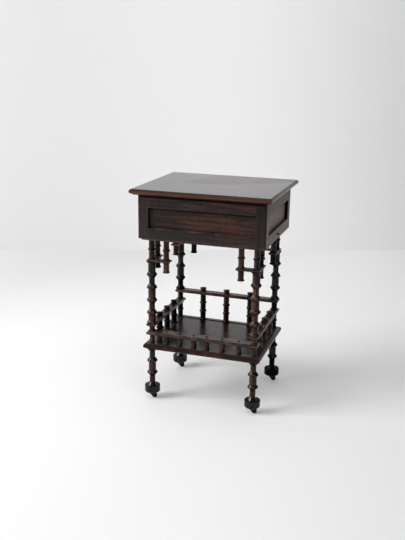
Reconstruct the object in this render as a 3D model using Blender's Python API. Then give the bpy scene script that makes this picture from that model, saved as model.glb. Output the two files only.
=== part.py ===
"""Spool table: a lift-top box on legs of stacked thread spools, with a galleried shelf and casters.

Metres, +Z up, the front towards -Y, the origin on the floor below the middle of the table.
A piece that rests on another starts one seat gap above it.
A hole's radius is one bore clearance more than that of what goes in it.
"""

import math
from itertools import accumulate

import bmesh
import bpy

# Fits
SEAT_GAP = 0.0003
BORE_CLEARANCE = 0.0003

# Plan: the legs stand in from the shelf's edge, the case reaches past the legs, the lid past the case
SHELF_WIDTH = 0.392
SHELF_DEPTH = 0.317
LEG_END_INSET = 0.02375
LEG_SIDE_INSET = 0.0228
CASE_END_REACH = 0.03275
CASE_SIDE_REACH = 0.0293
LID_END_OVERHANG = 0.020
LID_SIDE_OVERHANG = 0.0275

# Case: four mitred frames with recessed panels on a rabbeted bottom board
CASE_HEIGHT = 0.141
WALL_THICKNESS = 0.020
FACE_STILE_WIDTH = 0.0325
SIDE_STILE_WIDTH = 0.031
TOP_RAIL_WIDTH = 0.041
BOTTOM_RAIL_WIDTH = 0.0355
PANEL_RECESS = 0.010
PANEL_THICKNESS = 0.006
PANEL_GROOVE_DEPTH = 0.007
BOTTOM_LIP_THICKNESS = 0.0035
BOTTOM_LIP_INSET_FACE = 0.0005
BOTTOM_LIP_INSET_SIDE = 0.010
BOTTOM_FIELD_HEIGHT = 0.008

# Lid and its hinges
LID_THICKNESS = 0.018
LID_NOSE_HEIGHT = 0.010
LID_NOSE_TOP_INSET = 0.010
LID_NOSE_UNDER_INSET = 0.009
HINGE_END_INSET = 0.085
HINGE_LENGTH = 0.045
HINGE_LEAF_WIDTH = 0.014
HINGE_LEAF_THICKNESS = 0.0015
HINGE_KNUCKLE_RADIUS = 0.003
HINGE_MIDDLE_KNUCKLE = 0.015
HINGE_PIN_RADIUS = 0.0013
HINGE_PIN_HEAD_RADIUS = 0.002
HINGE_PIN_HEAD_HEIGHT = 0.001
KNUCKLE_GAP = 0.0004

# Shelf
SHELF_THICKNESS = 0.021
SHELF_NOSE_HEIGHT = 0.0095
SHELF_NOSE_TOP_INSET = 0.0065
SHELF_NOSE_UNDER_INSET = 0.008

# Moulded edge that lid and shelf share
EDGE_FILLET_HEIGHT = 0.0025
EDGE_QUIRK = 0.001
EDGE_ARC_STEPS = 3

# Legs, from the floor up
CASTER_HEIGHT = 0.0215
FOOT_HEIGHT = 0.025
FOOT_RADIUS = 0.0257
FOOT_BASE_RADIUS = 0.0185
FOOT_ROUND_HEIGHT = 0.0065
FOOT_RIM_CHAMFER = 0.002
ANKLE_SPOOL_LENGTH = 0.0455
LOWER_SPOOL_LENGTH = 0.042
UNDER_SHELF_SPOOL_LENGTH = 0.043
GALLERY_ZONE_HEIGHT = 0.1035
BIG_SPOOL_LENGTH = 0.043
BIG_SPOOL_COUNT = 4
HANGER_HEIGHT = 0.0671
TOP_SPOOL_LENGTH = 0.0353
LEG_NECK_RADIUS = 0.006
LEG_TENON_LENGTH = 0.011

# Spools
BIG_FLANGE_RADIUS = 0.017
THICK_BARREL_RADIUS = 0.0122
THIN_BARREL_RADIUS = 0.0095
ANKLE_CONE_RADIUS = 0.0148
SMALL_FLANGE_RADIUS = 0.0118
SMALL_BARREL_RADIUS = 0.0092
SPINDLE_FLANGE_RADIUS = 0.0110
SPINDLE_BARREL_RADIUS = 0.0085
SHORT_FLANGE_RADIUS = 0.0103
SHORT_BARREL_RADIUS = 0.0081
FLANGE_CONE_SLOPE = 1.2

# Corner brackets and hanging drops
BRACKET_THICKNESS = 0.008
BRACKET_HALF_WIDTH = 0.0135
STRIP_END_REACH = 0.0145
STRIP_BEVEL = 0.003
STRIP_EDGE_THICKNESS = 0.004
DROP_OFFSET = 0.0495
DROP_TIP_LENGTH = 0.0325
DROP_NECK_RADIUS = 0.004
DROP_TENON_LENGTH = 0.009
END_DOME_HEIGHT = 0.0025
DOME_SHOULDER_REACH = 0.6
DOME_SHOULDER_RISE = 0.75

# Gallery round the shelf: heights from the shelf to each rail's underside
RAIL_THICKNESS = 0.0115
RAIL_HALF_WIDTH = 0.0155
FRONT_RAIL_HALF_WIDTH = 0.0185
FRONT_RAIL_RISE = 0.0293
SIDE_RAIL_RISE = 0.0575
BACK_RAIL_RISE = 0.0935
FRONT_SPINDLE_SHIFTS = (0.002, -0.002, -0.003, -0.009, -0.006, -0.001)
SIDE_SPINDLE_COUNT = 3
BACK_SPINDLE_COUNT = 3
SPINDLE_NECK_RADIUS = 0.0035
SPINDLE_TENON_LENGTH = 0.006
FINIAL_HEIGHT = 0.0135

# Casters
CASTER_TRAIL = 0.007
CASTER_STEM_RADIUS = 0.0037
CASTER_STEM_LENGTH = 0.015
CASTER_CROWN_THICKNESS = 0.0018
CASTER_CROWN_REACH = 0.006
CASTER_CHEEK_THICKNESS = 0.0016
CASTER_BOSS_RADIUS = 0.004
WHEEL_RADIUS = 0.0092
WHEEL_WIDTH = 0.010
WHEEL_SIDE_GAP = 0.0005
WHEEL_EDGE_ROUND = 0.002
AXLE_RADIUS = 0.0016

# Facets round a turned piece
LEG_SEGMENTS = 10
SMALL_SEGMENTS = 8
WHEEL_SEGMENTS = 14
PIN_SEGMENTS = 8
FOOT_ROUND_STEPS = 2
SMOOTH_ANGLE = math.radians(40)

# Heights of the planes where pieces meet
FOOT_TOP = CASTER_HEIGHT + FOOT_HEIGHT
LOWER_RING = FOOT_TOP + ANKLE_SPOOL_LENGTH
UPPER_RING = LOWER_RING + LOWER_SPOOL_LENGTH
SHELF_BOTTOM = UPPER_RING + UNDER_SHELF_SPOOL_LENGTH
SHELF_TOP = SHELF_BOTTOM + SHELF_THICKNESS
FRONT_RAIL_BOTTOM = SHELF_TOP + FRONT_RAIL_RISE
SIDE_RAIL_BOTTOM = SHELF_TOP + SIDE_RAIL_RISE
BACK_RAIL_BOTTOM = SHELF_TOP + BACK_RAIL_RISE
BRACKET_BOTTOM = SHELF_TOP + GALLERY_ZONE_HEIGHT + BIG_SPOOL_COUNT * BIG_SPOOL_LENGTH
BRACKET_TOP = BRACKET_BOTTOM + BRACKET_THICKNESS
UNDERSIDE = BRACKET_TOP + HANGER_HEIGHT
CASE_BOTTOM = UNDERSIDE + BOTTOM_LIP_THICKNESS
CASE_TOP = CASE_BOTTOM + CASE_HEIGHT
LID_BOTTOM = CASE_TOP + SEAT_GAP

# Places in plan
LEG_X = SHELF_WIDTH / 2 - LEG_END_INSET
LEG_Y = SHELF_DEPTH / 2 - LEG_SIDE_INSET
LEG_SPREAD_X = 2 * LEG_X
LEG_SPREAD_Y = 2 * LEG_Y
CASE_WIDTH = LEG_SPREAD_X + 2 * CASE_END_REACH
CASE_DEPTH = LEG_SPREAD_Y + 2 * CASE_SIDE_REACH
LID_WIDTH = CASE_WIDTH + 2 * LID_END_OVERHANG
LID_DEPTH = CASE_DEPTH + 2 * LID_SIDE_OVERHANG
HINGE_SPREAD = CASE_WIDTH - 2 * HINGE_END_INSET
HINGE_AXIS_Y = CASE_DEPTH / 2 + SEAT_GAP + HINGE_KNUCKLE_RADIUS
HINGE_AXIS_Z = CASE_TOP - HINGE_KNUCKLE_RADIUS
CORNERS = {
    "front_left": (-1, -1),
    "front_right": (1, -1),
    "back_left": (-1, 1),
    "back_right": (1, 1),
}


def clear_scene():
    for obj in list(bpy.data.objects):
        bpy.data.objects.remove(obj, do_unlink=True)


def make_material(name, colour, roughness, metallic=0.0):
    material = bpy.data.materials.new(name)
    material.use_nodes = True
    shader = material.node_tree.nodes["Principled BSDF"]
    shader.inputs["Base Color"].default_value = (*colour, 1.0)
    shader.inputs["Roughness"].default_value = roughness
    shader.inputs["Metallic"].default_value = metallic
    return material


def make_materials():
    return {
        "board": make_material("dark_stained_board", (0.045, 0.026, 0.019), 0.32),
        "panel": make_material("red_brown_panel", (0.055, 0.024, 0.016), 0.36),
        "spool": make_material("ebonised_spool", (0.028, 0.016, 0.012), 0.34),
        "drop": make_material("brown_spool", (0.060, 0.030, 0.018), 0.36),
        "strip": make_material("dark_strip", (0.032, 0.020, 0.016), 0.36),
        "brass": make_material("aged_brass", (0.33, 0.22, 0.09), 0.42, 1.0),
        "iron": make_material("black_iron", (0.030, 0.028, 0.027), 0.50, 1.0),
        "wheel": make_material("dark_wheel", (0.022, 0.018, 0.016), 0.45),
    }


def make_empty(name, location):
    empty = bpy.data.objects.new(name, None)
    empty.location = location
    bpy.context.scene.collection.objects.link(empty)
    return empty


def make_object(name, shape, material, location=(0, 0, 0), turn=0.0, parent=None):
    """A named object from a bmesh, which is used up, or from a mesh that several objects share."""
    if isinstance(shape, bmesh.types.BMesh):
        bmesh.ops.recalc_face_normals(shape, faces=shape.faces)
        mesh = bpy.data.meshes.new(name)
        shape.to_mesh(mesh)
        shape.free()
        mesh.shade_smooth()
        mesh.set_sharp_from_angle(angle=SMOOTH_ANGLE)
    else:
        mesh = shape
    obj = bpy.data.objects.new(name, mesh)
    if not mesh.materials:
        mesh.materials.append(material)
    obj.location = location
    obj.rotation_euler = (0, 0, turn)
    obj.parent = parent
    bpy.context.scene.collection.objects.link(obj)
    return obj


def combine(obj, operation, shape):
    """Cuts a hidden helper from an object, or joins the helper to it."""
    helper = make_object(f"{obj.name}_{operation.lower()}", shape, obj.data.materials[0], parent=obj)
    helper.hide_render = True
    helper.display_type = "WIRE"
    modifier = obj.modifiers.new(helper.name, "BOOLEAN")
    modifier.operation = operation
    modifier.solver = "EXACT"
    modifier.object = helper


def finished_mesh(obj):
    """The object's mesh with its modifiers applied, for copies to share. The object and its helpers go."""
    graph = bpy.context.evaluated_depsgraph_get()
    mesh = bpy.data.meshes.new_from_object(obj.evaluated_get(graph))
    for used in (*obj.children, obj):
        bpy.data.objects.remove(used, do_unlink=True)
    return mesh


def rectangle(half_x, half_y):
    return [(-half_x, -half_y), (half_x, -half_y), (half_x, half_y), (-half_x, half_y)]


def loft(sections):
    """A closed solid through level outlines of equal length, bottom to top, as (outline, height)."""
    shape = bmesh.new()
    rings = [[shape.verts.new((x, y, height)) for x, y in outline] for outline, height in sections]
    for lower, upper in zip(rings, rings[1:]):
        for i in range(len(lower)):
            shape.faces.new((lower[i - 1], lower[i], upper[i], upper[i - 1]))
    shape.faces.new(rings[0])
    shape.faces.new(rings[-1])
    return shape


def add_box(shape, low, high):
    plan = rectangle_between(low, high)
    corners = [[shape.verts.new((x, y, z)) for x, y in plan] for z in (low[2], high[2])]
    for i in range(4):
        shape.faces.new((corners[0][i - 1], corners[0][i], corners[1][i], corners[1][i - 1]))
    shape.faces.new(corners[0])
    shape.faces.new(corners[1])


def rectangle_between(low, high):
    return [(low[0], low[1]), (high[0], low[1]), (high[0], high[1]), (low[0], high[1])]


def box(low, high):
    shape = bmesh.new()
    add_box(shape, low, high)
    return shape


def add_turned(shape, profile, segments, centre=(0, 0), axis="Z", phase=0.0):
    """Adds a profile of (radius, height) points, turned about an axis on which it starts and ends."""
    cosine, sine = math.cos(phase), math.sin(phase)
    if axis == "Z":
        points = [(centre[0] + r * cosine, centre[1] + r * sine, h) for r, h in profile]
        pivot, direction = (*centre, 0), (0, 0, 1)
    elif axis == "Y":
        points = [(centre[0] + r * sine, h, centre[1] + r * cosine) for r, h in profile]
        pivot, direction = (centre[0], 0, centre[1]), (0, 1, 0)
    else:
        points = [(h, centre[0] + r * cosine, centre[1] + r * sine) for r, h in profile]
        pivot, direction = (0, *centre), (1, 0, 0)
    verts = [shape.verts.new(point) for point in points]
    edges = [shape.edges.new(pair) for pair in zip(verts, verts[1:])]
    before = set(shape.verts) - set(verts)
    turn = {"cent": pivot, "axis": direction, "angle": 2 * math.pi, "steps": segments, "use_merge": True}
    bmesh.ops.spin(shape, geom=verts + edges, **turn)
    bmesh.ops.remove_doubles(shape, verts=[v for v in shape.verts if v not in before], dist=1e-6)


def turned(profile, segments, **place):
    shape = bmesh.new()
    add_turned(shape, profile, segments, **place)
    return shape


def rod(radius, low, high):
    """The profile of a plain cylinder."""
    return [(0, high), (radius, high), (radius, low), (0, low)]


def bores(places, radius, low, high, segments):
    """Cylinders to cut at several places in plan, one bore clearance wider than what goes in them."""
    shape = bmesh.new()
    for place in places:
        add_turned(shape, rod(radius + BORE_CLEARANCE, low, high), segments, centre=place)
    return shape


def quarter_turn(steps):
    return [math.pi / 2 * step / steps for step in range(steps + 1)]


def moulded_edge(thickness, nose_height, top_inset, under_inset):
    """(inset, height) pairs of a thumb-moulded edge, bottom to top: fillet, rounded nose, quirk."""
    arc = quarter_turn(EDGE_ARC_STEPS)
    lower_rise = nose_height - EDGE_FILLET_HEIGHT
    upper_rise = thickness - EDGE_QUIRK - nose_height
    lower = [(under_inset * (1 - math.sin(a)), nose_height - lower_rise * math.cos(a)) for a in arc]
    upper = [(top_inset * (1 - math.cos(a)), nose_height + upper_rise * math.sin(a)) for a in arc]
    return [(under_inset, 0), *lower, *upper[1:], (top_inset + EDGE_QUIRK, thickness)]


def moulded_sections(width, depth, edge, base):
    """The level outlines of a board with a moulded edge, bottom to top."""
    return [(rectangle(width / 2 - inset, depth / 2 - inset), base + rise) for inset, rise in edge]


def bevelled_strip(outline_at, low, high):
    """A flat strip with a double bevel round its edge. outline_at gives the outline for an inset."""
    middle = (low + high) / 2
    half_edge = STRIP_EDGE_THICKNESS / 2
    return loft(
        [
            (outline_at(STRIP_BEVEL), low),
            (outline_at(0), middle - half_edge),
            (outline_at(0), middle + half_edge),
            (outline_at(STRIP_BEVEL), high),
        ]
    )


def spool(top, bottom, barrel, flange):
    """A thread spool's profile, top to bottom: a barrel between two coned flanges."""
    cone = FLANGE_CONE_SLOPE * (flange - barrel)
    return [(flange, top), (barrel, top - cone), (barrel, bottom + cone), (flange, bottom)]


def spool_stack(top, bottom, lengths, barrels, flange):
    """Spools stacked from the top down. The last takes what the given lengths leave."""
    ends = [*accumulate((-length for length in lengths), initial=top), bottom]
    stack = []
    for upper, lower, barrel in zip(ends, ends[1:], barrels):
        stack += spool(upper, lower, barrel, flange)
    return stack


def post(top_end, stacks, neck, bottom_end):
    """The profile of stacks of spools, joined by necks through what the stacks hold between them."""
    profile = [*top_end]
    for stack in stacks:
        if stack is not stacks[0]:
            profile += [(neck, profile[-1][1]), (neck, stack[0][1])]
        profile += stack
    return without_idle_points([*profile, *bottom_end])


def without_idle_points(profile):
    """The profile without repeated points or points in the middle of an upright run."""
    kept = []
    for i, point in enumerate(profile):
        inner = 0 < i < len(profile) - 1
        upright = inner and profile[i - 1][0] == point[0] == profile[i + 1][0]
        if not upright and point not in kept[-1:]:
            kept.append(point)
    return kept


def tenon(radius, seat, end):
    """A tenon's profile from its end to its seat, whichever of the two is higher."""
    outward = [(0, end), (radius, end), (radius, seat)]
    return outward if end > seat else outward[::-1]


def dome(radius, seat, height):
    """A low rounded end's profile, up from its seat or, with a negative height, down."""
    outward = [(0, seat + height), (radius * DOME_SHOULDER_REACH, seat + height * DOME_SHOULDER_RISE)]
    return outward if height > 0 else outward[::-1]


def spindle_places(span, count, shifts=None):
    """Even places between two legs, each shifted by its own hand-set error."""
    step = span / (count + 1)
    return [step * (i + 1) - span / 2 + shift for i, shift in enumerate(shifts or [0] * count)]


FRONT_SPINDLES = [
    (x, -LEG_Y) for x in spindle_places(LEG_SPREAD_X, len(FRONT_SPINDLE_SHIFTS), FRONT_SPINDLE_SHIFTS)
]
BACK_SPINDLES = [(x, LEG_Y) for x in spindle_places(LEG_SPREAD_X, BACK_SPINDLE_COUNT)]
LEFT_SPINDLES = [(-LEG_X, y) for y in spindle_places(LEG_SPREAD_Y, SIDE_SPINDLE_COUNT)]
RIGHT_SPINDLES = [(LEG_X, y) for y in spindle_places(LEG_SPREAD_Y, SIDE_SPINDLE_COUNT)]
LEG_PLACES = [(x * LEG_X, y * LEG_Y) for x, y in CORNERS.values()]


def drop_places(corner):
    """Where a corner's two drops hang: along the front or back face, and along the side."""
    side, face = CORNERS[corner]
    return {
        "face": (side * (LEG_X - DROP_OFFSET), face * LEG_Y),
        "side": (side * LEG_X, face * (LEG_Y - DROP_OFFSET)),
    }


def make_wall(name, half_length, stile, materials, location, turn):
    """A mitred frame, grooved round its window, and the panel in the groove."""
    window_x = half_length - stile
    window_low = BOTTOM_RAIL_WIDTH
    window_high = CASE_HEIGHT - TOP_RAIL_WIDTH
    slot_back = PANEL_RECESS + PANEL_THICKNESS + 2 * SEAT_GAP
    mitre_x = half_length - SEAT_GAP / math.sqrt(2)
    shape = bmesh.new()
    rings = []
    for side, upper in ((-1, False), (1, False), (1, True), (-1, True)):
        edge = CASE_HEIGHT if upper else SEAT_GAP
        window = window_high if upper else window_low
        groove = window + PANEL_GROOVE_DEPTH * (1 if upper else -1)
        groove_x = window_x + PANEL_GROOVE_DEPTH
        section = (
            (mitre_x, 0, edge),
            (window_x, 0, window),
            (window_x, PANEL_RECESS, window),
            (groove_x, PANEL_RECESS, groove),
            (groove_x, slot_back, groove),
            (window_x, slot_back, window),
            (window_x, WALL_THICKNESS, window),
            (mitre_x - WALL_THICKNESS, WALL_THICKNESS, edge),
        )
        rings.append([shape.verts.new((side * x, y, z)) for x, y, z in section])
    for i, ring in enumerate(rings):
        last = rings[i - 1]
        for j in range(len(ring)):
            shape.faces.new((last[j - 1], last[j], ring[j], ring[j - 1]))
    make_object(f"{name}_frame", shape, materials["board"], location, turn)
    panel_x = window_x + PANEL_GROOVE_DEPTH - SEAT_GAP
    panel = box(
        (-panel_x, PANEL_RECESS + SEAT_GAP, window_low - PANEL_GROOVE_DEPTH + SEAT_GAP),
        (panel_x, slot_back - SEAT_GAP, window_high + PANEL_GROOVE_DEPTH - SEAT_GAP),
    )
    make_object(f"{name}_panel", panel, materials["panel"], location, turn)


def make_case(materials):
    half_x, half_y = CASE_WIDTH / 2, CASE_DEPTH / 2
    make_wall("front", half_x, FACE_STILE_WIDTH, materials, (0, -half_y, CASE_BOTTOM), 0)
    make_wall("right", half_y, SIDE_STILE_WIDTH, materials, (half_x, 0, CASE_BOTTOM), math.pi / 2)
    make_wall("back", half_x, FACE_STILE_WIDTH, materials, (0, half_y, CASE_BOTTOM), math.pi)
    make_wall("left", half_y, SIDE_STILE_WIDTH, materials, (-half_x, 0, CASE_BOTTOM), -math.pi / 2)
    lip = rectangle(half_x - BOTTOM_LIP_INSET_SIDE, half_y - BOTTOM_LIP_INSET_FACE)
    inner = WALL_THICKNESS + SEAT_GAP
    field = rectangle(half_x - inner, half_y - inner)
    board = loft(
        [
            (lip, UNDERSIDE + SEAT_GAP),
            (lip, CASE_BOTTOM),
            (field, CASE_BOTTOM),
            (field, CASE_BOTTOM + BOTTOM_FIELD_HEIGHT),
        ]
    )
    bottom = make_object("bottom_board", board, materials["board"])
    below = UNDERSIDE - BOTTOM_LIP_THICKNESS
    leg_holes_top = UNDERSIDE + LEG_TENON_LENGTH + SEAT_GAP
    combine(bottom, "DIFFERENCE", bores(LEG_PLACES, LEG_NECK_RADIUS, below, leg_holes_top, LEG_SEGMENTS))
    drops = [place for corner in CORNERS for place in drop_places(corner).values()]
    drop_holes_top = UNDERSIDE + DROP_TENON_LENGTH + SEAT_GAP
    combine(bottom, "DIFFERENCE", bores(drops, DROP_NECK_RADIUS, below, drop_holes_top, SMALL_SEGMENTS))


def make_hinge(name, x, materials, lid_axis):
    """A butt hinge under the lid's overhang, with a leaf on the back wall and a leaf under the lid."""
    half = HINGE_LENGTH / 2
    middle = HINGE_MIDDLE_KNUCKLE / 2
    radius = HINGE_KNUCKLE_RADIUS
    clear = radius + KNUCKLE_GAP
    outer_face = -radius + HINGE_LEAF_THICKNESS
    bore = rod(HINGE_PIN_RADIUS + BORE_CLEARANCE, -2 * half, 2 * half)
    axis_place = (x, HINGE_AXIS_Y, HINGE_AXIS_Z)

    case_plate = [
        (-half, -HINGE_LEAF_WIDTH),
        (half, -HINGE_LEAF_WIDTH),
        (half, 0),
        (middle + KNUCKLE_GAP, 0),
        (middle + KNUCKLE_GAP, -clear),
        (-middle - KNUCKLE_GAP, -clear),
        (-middle - KNUCKLE_GAP, 0),
        (-half, 0),
    ]
    case_leaf = make_object(
        f"{name}_case_leaf", upright_plate(case_plate, -radius, outer_face), materials["brass"], axis_place
    )
    outer_knuckles = bmesh.new()
    for low, high in ((-half, -middle - KNUCKLE_GAP), (middle + KNUCKLE_GAP, half)):
        add_turned(outer_knuckles, rod(radius, low, high), SMALL_SEGMENTS, axis="X")
    combine(case_leaf, "UNION", outer_knuckles)
    combine(case_leaf, "DIFFERENCE", turned(bore, PIN_SEGMENTS, axis="X"))

    lid_plate = [
        (-half, clear),
        (-middle, clear),
        (-middle, 0),
        (middle, 0),
        (middle, clear),
        (half, clear),
        (half, HINGE_LEAF_WIDTH),
        (-half, HINGE_LEAF_WIDTH),
    ]
    plate = loft([(lid_plate, radius - HINGE_LEAF_THICKNESS), (lid_plate, radius)])
    lid_leaf = make_object(f"{name}_lid_leaf", plate, materials["brass"], (x, 0, 0), parent=lid_axis)
    combine(lid_leaf, "UNION", turned(rod(radius, -middle, middle), SMALL_SEGMENTS, axis="X"))
    combine(lid_leaf, "DIFFERENCE", turned(bore, PIN_SEGMENTS, axis="X"))

    seat = half + SEAT_GAP
    head = seat + HINGE_PIN_HEAD_HEIGHT
    pin = [
        (0, head),
        (HINGE_PIN_HEAD_RADIUS, seat + HINGE_PIN_HEAD_HEIGHT / 2),
        (HINGE_PIN_HEAD_RADIUS, seat),
        (HINGE_PIN_RADIUS, seat),
        (HINGE_PIN_RADIUS, -seat),
        (HINGE_PIN_HEAD_RADIUS, -seat),
        (HINGE_PIN_HEAD_RADIUS, -seat - HINGE_PIN_HEAD_HEIGHT / 2),
        (0, -head),
    ]
    make_object(f"{name}_pin", turned(pin, PIN_SEGMENTS, axis="X"), materials["brass"], axis_place)


def upright_plate(outline, front, back):
    """A plate that stands along X and Z, between two depths."""
    shape = loft([(outline, front), (outline, back)])
    for vert in shape.verts:
        x, height, depth = vert.co
        vert.co = (x, depth, height)
    return shape


def make_lid(materials):
    axis = make_empty("lid_hinge_axis", (0, HINGE_AXIS_Y, HINGE_AXIS_Z))
    edge = moulded_edge(LID_THICKNESS, LID_NOSE_HEIGHT, LID_NOSE_TOP_INSET, LID_NOSE_UNDER_INSET)
    board = loft(moulded_sections(LID_WIDTH, LID_DEPTH, edge, 0))
    below_axis = (0, -HINGE_AXIS_Y, LID_BOTTOM - HINGE_AXIS_Z)
    make_object("lid", board, materials["board"], below_axis, parent=axis)
    make_hinge("left_hinge", -HINGE_SPREAD / 2, materials, axis)
    make_hinge("right_hinge", HINGE_SPREAD / 2, materials, axis)


def leg_stacks(at_front):
    """A leg's stacks of spools, top to bottom, between what the leg passes through."""
    thick, thin = THICK_BARREL_RADIUS, THIN_BARREL_RADIUS
    big, small = BIG_FLANGE_RADIUS, SMALL_FLANGE_RADIUS
    slim, short = SMALL_BARREL_RADIUS, SHORT_BARREL_RADIUS
    side_rail_seat = SIDE_RAIL_BOTTOM + RAIL_THICKNESS + SEAT_GAP
    shelf_seat = SHELF_TOP + SEAT_GAP
    top = [spool_stack(UNDERSIDE, BRACKET_TOP + SEAT_GAP, [TOP_SPOOL_LENGTH], [slim] * 2, small)]
    if at_front:
        front_rail_seat = FRONT_RAIL_BOTTOM + RAIL_THICKNESS + SEAT_GAP
        lengths = [BIG_SPOOL_LENGTH] * BIG_SPOOL_COUNT
        barrels = [thick, thin] * BIG_SPOOL_COUNT
        middle = [
            spool_stack(BRACKET_BOTTOM, side_rail_seat, lengths, barrels, big),
            spool(SIDE_RAIL_BOTTOM, front_rail_seat, slim, small),
            spool(FRONT_RAIL_BOTTOM, shelf_seat, short, SHORT_FLANGE_RADIUS),
        ]
    else:
        back_rail_seat = BACK_RAIL_BOTTOM + RAIL_THICKNESS + SEAT_GAP
        lengths = [BIG_SPOOL_LENGTH] * (BIG_SPOOL_COUNT - 1)
        barrels = [thick, thin] * BIG_SPOOL_COUNT
        middle = [
            spool_stack(BRACKET_BOTTOM, back_rail_seat, lengths, barrels, big),
            spool(BACK_RAIL_BOTTOM, side_rail_seat, thin, small),
            spool_stack(SIDE_RAIL_BOTTOM, shelf_seat, [SIDE_RAIL_RISE / 2], [slim] * 2, small),
        ]
    lengths = [UNDER_SHELF_SPOOL_LENGTH, LOWER_SPOOL_LENGTH]
    low = spool_stack(SHELF_BOTTOM, FOOT_TOP, lengths, [thin, thick, thin], big)
    low[-1] = (ANKLE_CONE_RADIUS, FOOT_TOP)
    return [*top, *middle, low]


def foot_profile():
    """The wide foot disc under a leg, rounded below, with a blind bore for the caster's stem."""
    rim = [(FOOT_RADIUS - FOOT_RIM_CHAMFER, FOOT_TOP), (FOOT_RADIUS, FOOT_TOP - FOOT_RIM_CHAMFER)]
    base, reach = FOOT_BASE_RADIUS, FOOT_RADIUS - FOOT_BASE_RADIUS
    floor, rise = CASTER_HEIGHT, FOOT_ROUND_HEIGHT
    arc = quarter_turn(FOOT_ROUND_STEPS)
    under = [(base + reach * math.cos(a), floor + rise * (1 - math.sin(a))) for a in arc]
    bore = CASTER_STEM_RADIUS + BORE_CLEARANCE
    bore_end = CASTER_HEIGHT + CASTER_STEM_LENGTH + SEAT_GAP
    return [*rim, *under, (bore, CASTER_HEIGHT), (bore, bore_end), (0, bore_end)]


def make_legs(materials):
    top_end = tenon(LEG_NECK_RADIUS, UNDERSIDE, UNDERSIDE + LEG_TENON_LENGTH)
    for at_front in (True, False):
        profile = post(top_end, leg_stacks(at_front), LEG_NECK_RADIUS, foot_profile())
        for corner, (side, face) in CORNERS.items():
            if at_front == (face < 0):
                leg = turned(profile, LEG_SEGMENTS)
                make_object(f"{corner}_leg", leg, materials["spool"], (side * LEG_X, face * LEG_Y, 0))


def make_drops(materials):
    """Each corner's bracket, an L of two strips held between spools, and the drops through its ends."""
    tip = BRACKET_BOTTOM - DROP_TIP_LENGTH
    barrel, flange = SMALL_BARREL_RADIUS, SMALL_FLANGE_RADIUS
    stacks = [
        spool_stack(UNDERSIDE, BRACKET_TOP + SEAT_GAP, [TOP_SPOOL_LENGTH], [barrel] * 2, flange),
        spool(BRACKET_BOTTOM, tip, barrel, flange),
    ]
    top_end = tenon(DROP_NECK_RADIUS, UNDERSIDE, UNDERSIDE + DROP_TENON_LENGTH)
    bottom_end = dome(flange, tip, -END_DOME_HEIGHT)
    profile = post(top_end, stacks, DROP_NECK_RADIUS, bottom_end)
    for corner, (side, face) in CORNERS.items():

        def outline(inset):
            near = BRACKET_HALF_WIDTH - inset
            far = DROP_OFFSET + STRIP_END_REACH - inset
            arms = [(-near, -near), (far, -near), (far, near), (near, near), (near, far), (-near, far)]
            return [(side * (LEG_X - x), face * (LEG_Y - y)) for x, y in arms]

        strip = bevelled_strip(outline, BRACKET_BOTTOM + SEAT_GAP, BRACKET_TOP)
        bracket = make_object(f"{corner}_bracket", strip, materials["strip"])
        below, above = BRACKET_BOTTOM - BRACKET_THICKNESS, BRACKET_TOP + BRACKET_THICKNESS
        leg_place = [(side * LEG_X, face * LEG_Y)]
        combine(bracket, "DIFFERENCE", bores(leg_place, LEG_NECK_RADIUS, below, above, LEG_SEGMENTS))
        places = drop_places(corner)
        drop_holes = bores(places.values(), DROP_NECK_RADIUS, below, above, SMALL_SEGMENTS)
        combine(bracket, "DIFFERENCE", drop_holes)
        for way, place in places.items():
            drop = turned(profile, SMALL_SEGMENTS)
            make_object(f"{corner}_{way}_drop", drop, materials["drop"], (*place, 0))


def make_shelf(materials):
    thickness = SHELF_THICKNESS - SEAT_GAP
    edge = moulded_edge(thickness, SHELF_NOSE_HEIGHT, SHELF_NOSE_TOP_INSET, SHELF_NOSE_UNDER_INSET)
    sections = moulded_sections(SHELF_WIDTH, SHELF_DEPTH, edge, SHELF_BOTTOM + SEAT_GAP)
    shelf = make_object("shelf", loft(sections), materials["board"])
    below, above = SHELF_BOTTOM - SHELF_THICKNESS, SHELF_TOP + SHELF_THICKNESS
    combine(shelf, "DIFFERENCE", bores(LEG_PLACES, LEG_NECK_RADIUS, below, above, LEG_SEGMENTS))
    spindles = FRONT_SPINDLES + BACK_SPINDLES + LEFT_SPINDLES + RIGHT_SPINDLES
    floor = SHELF_TOP - SPINDLE_TENON_LENGTH - SEAT_GAP
    combine(shelf, "DIFFERENCE", bores(spindles, SPINDLE_NECK_RADIUS, floor, above, SMALL_SEGMENTS))


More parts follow.
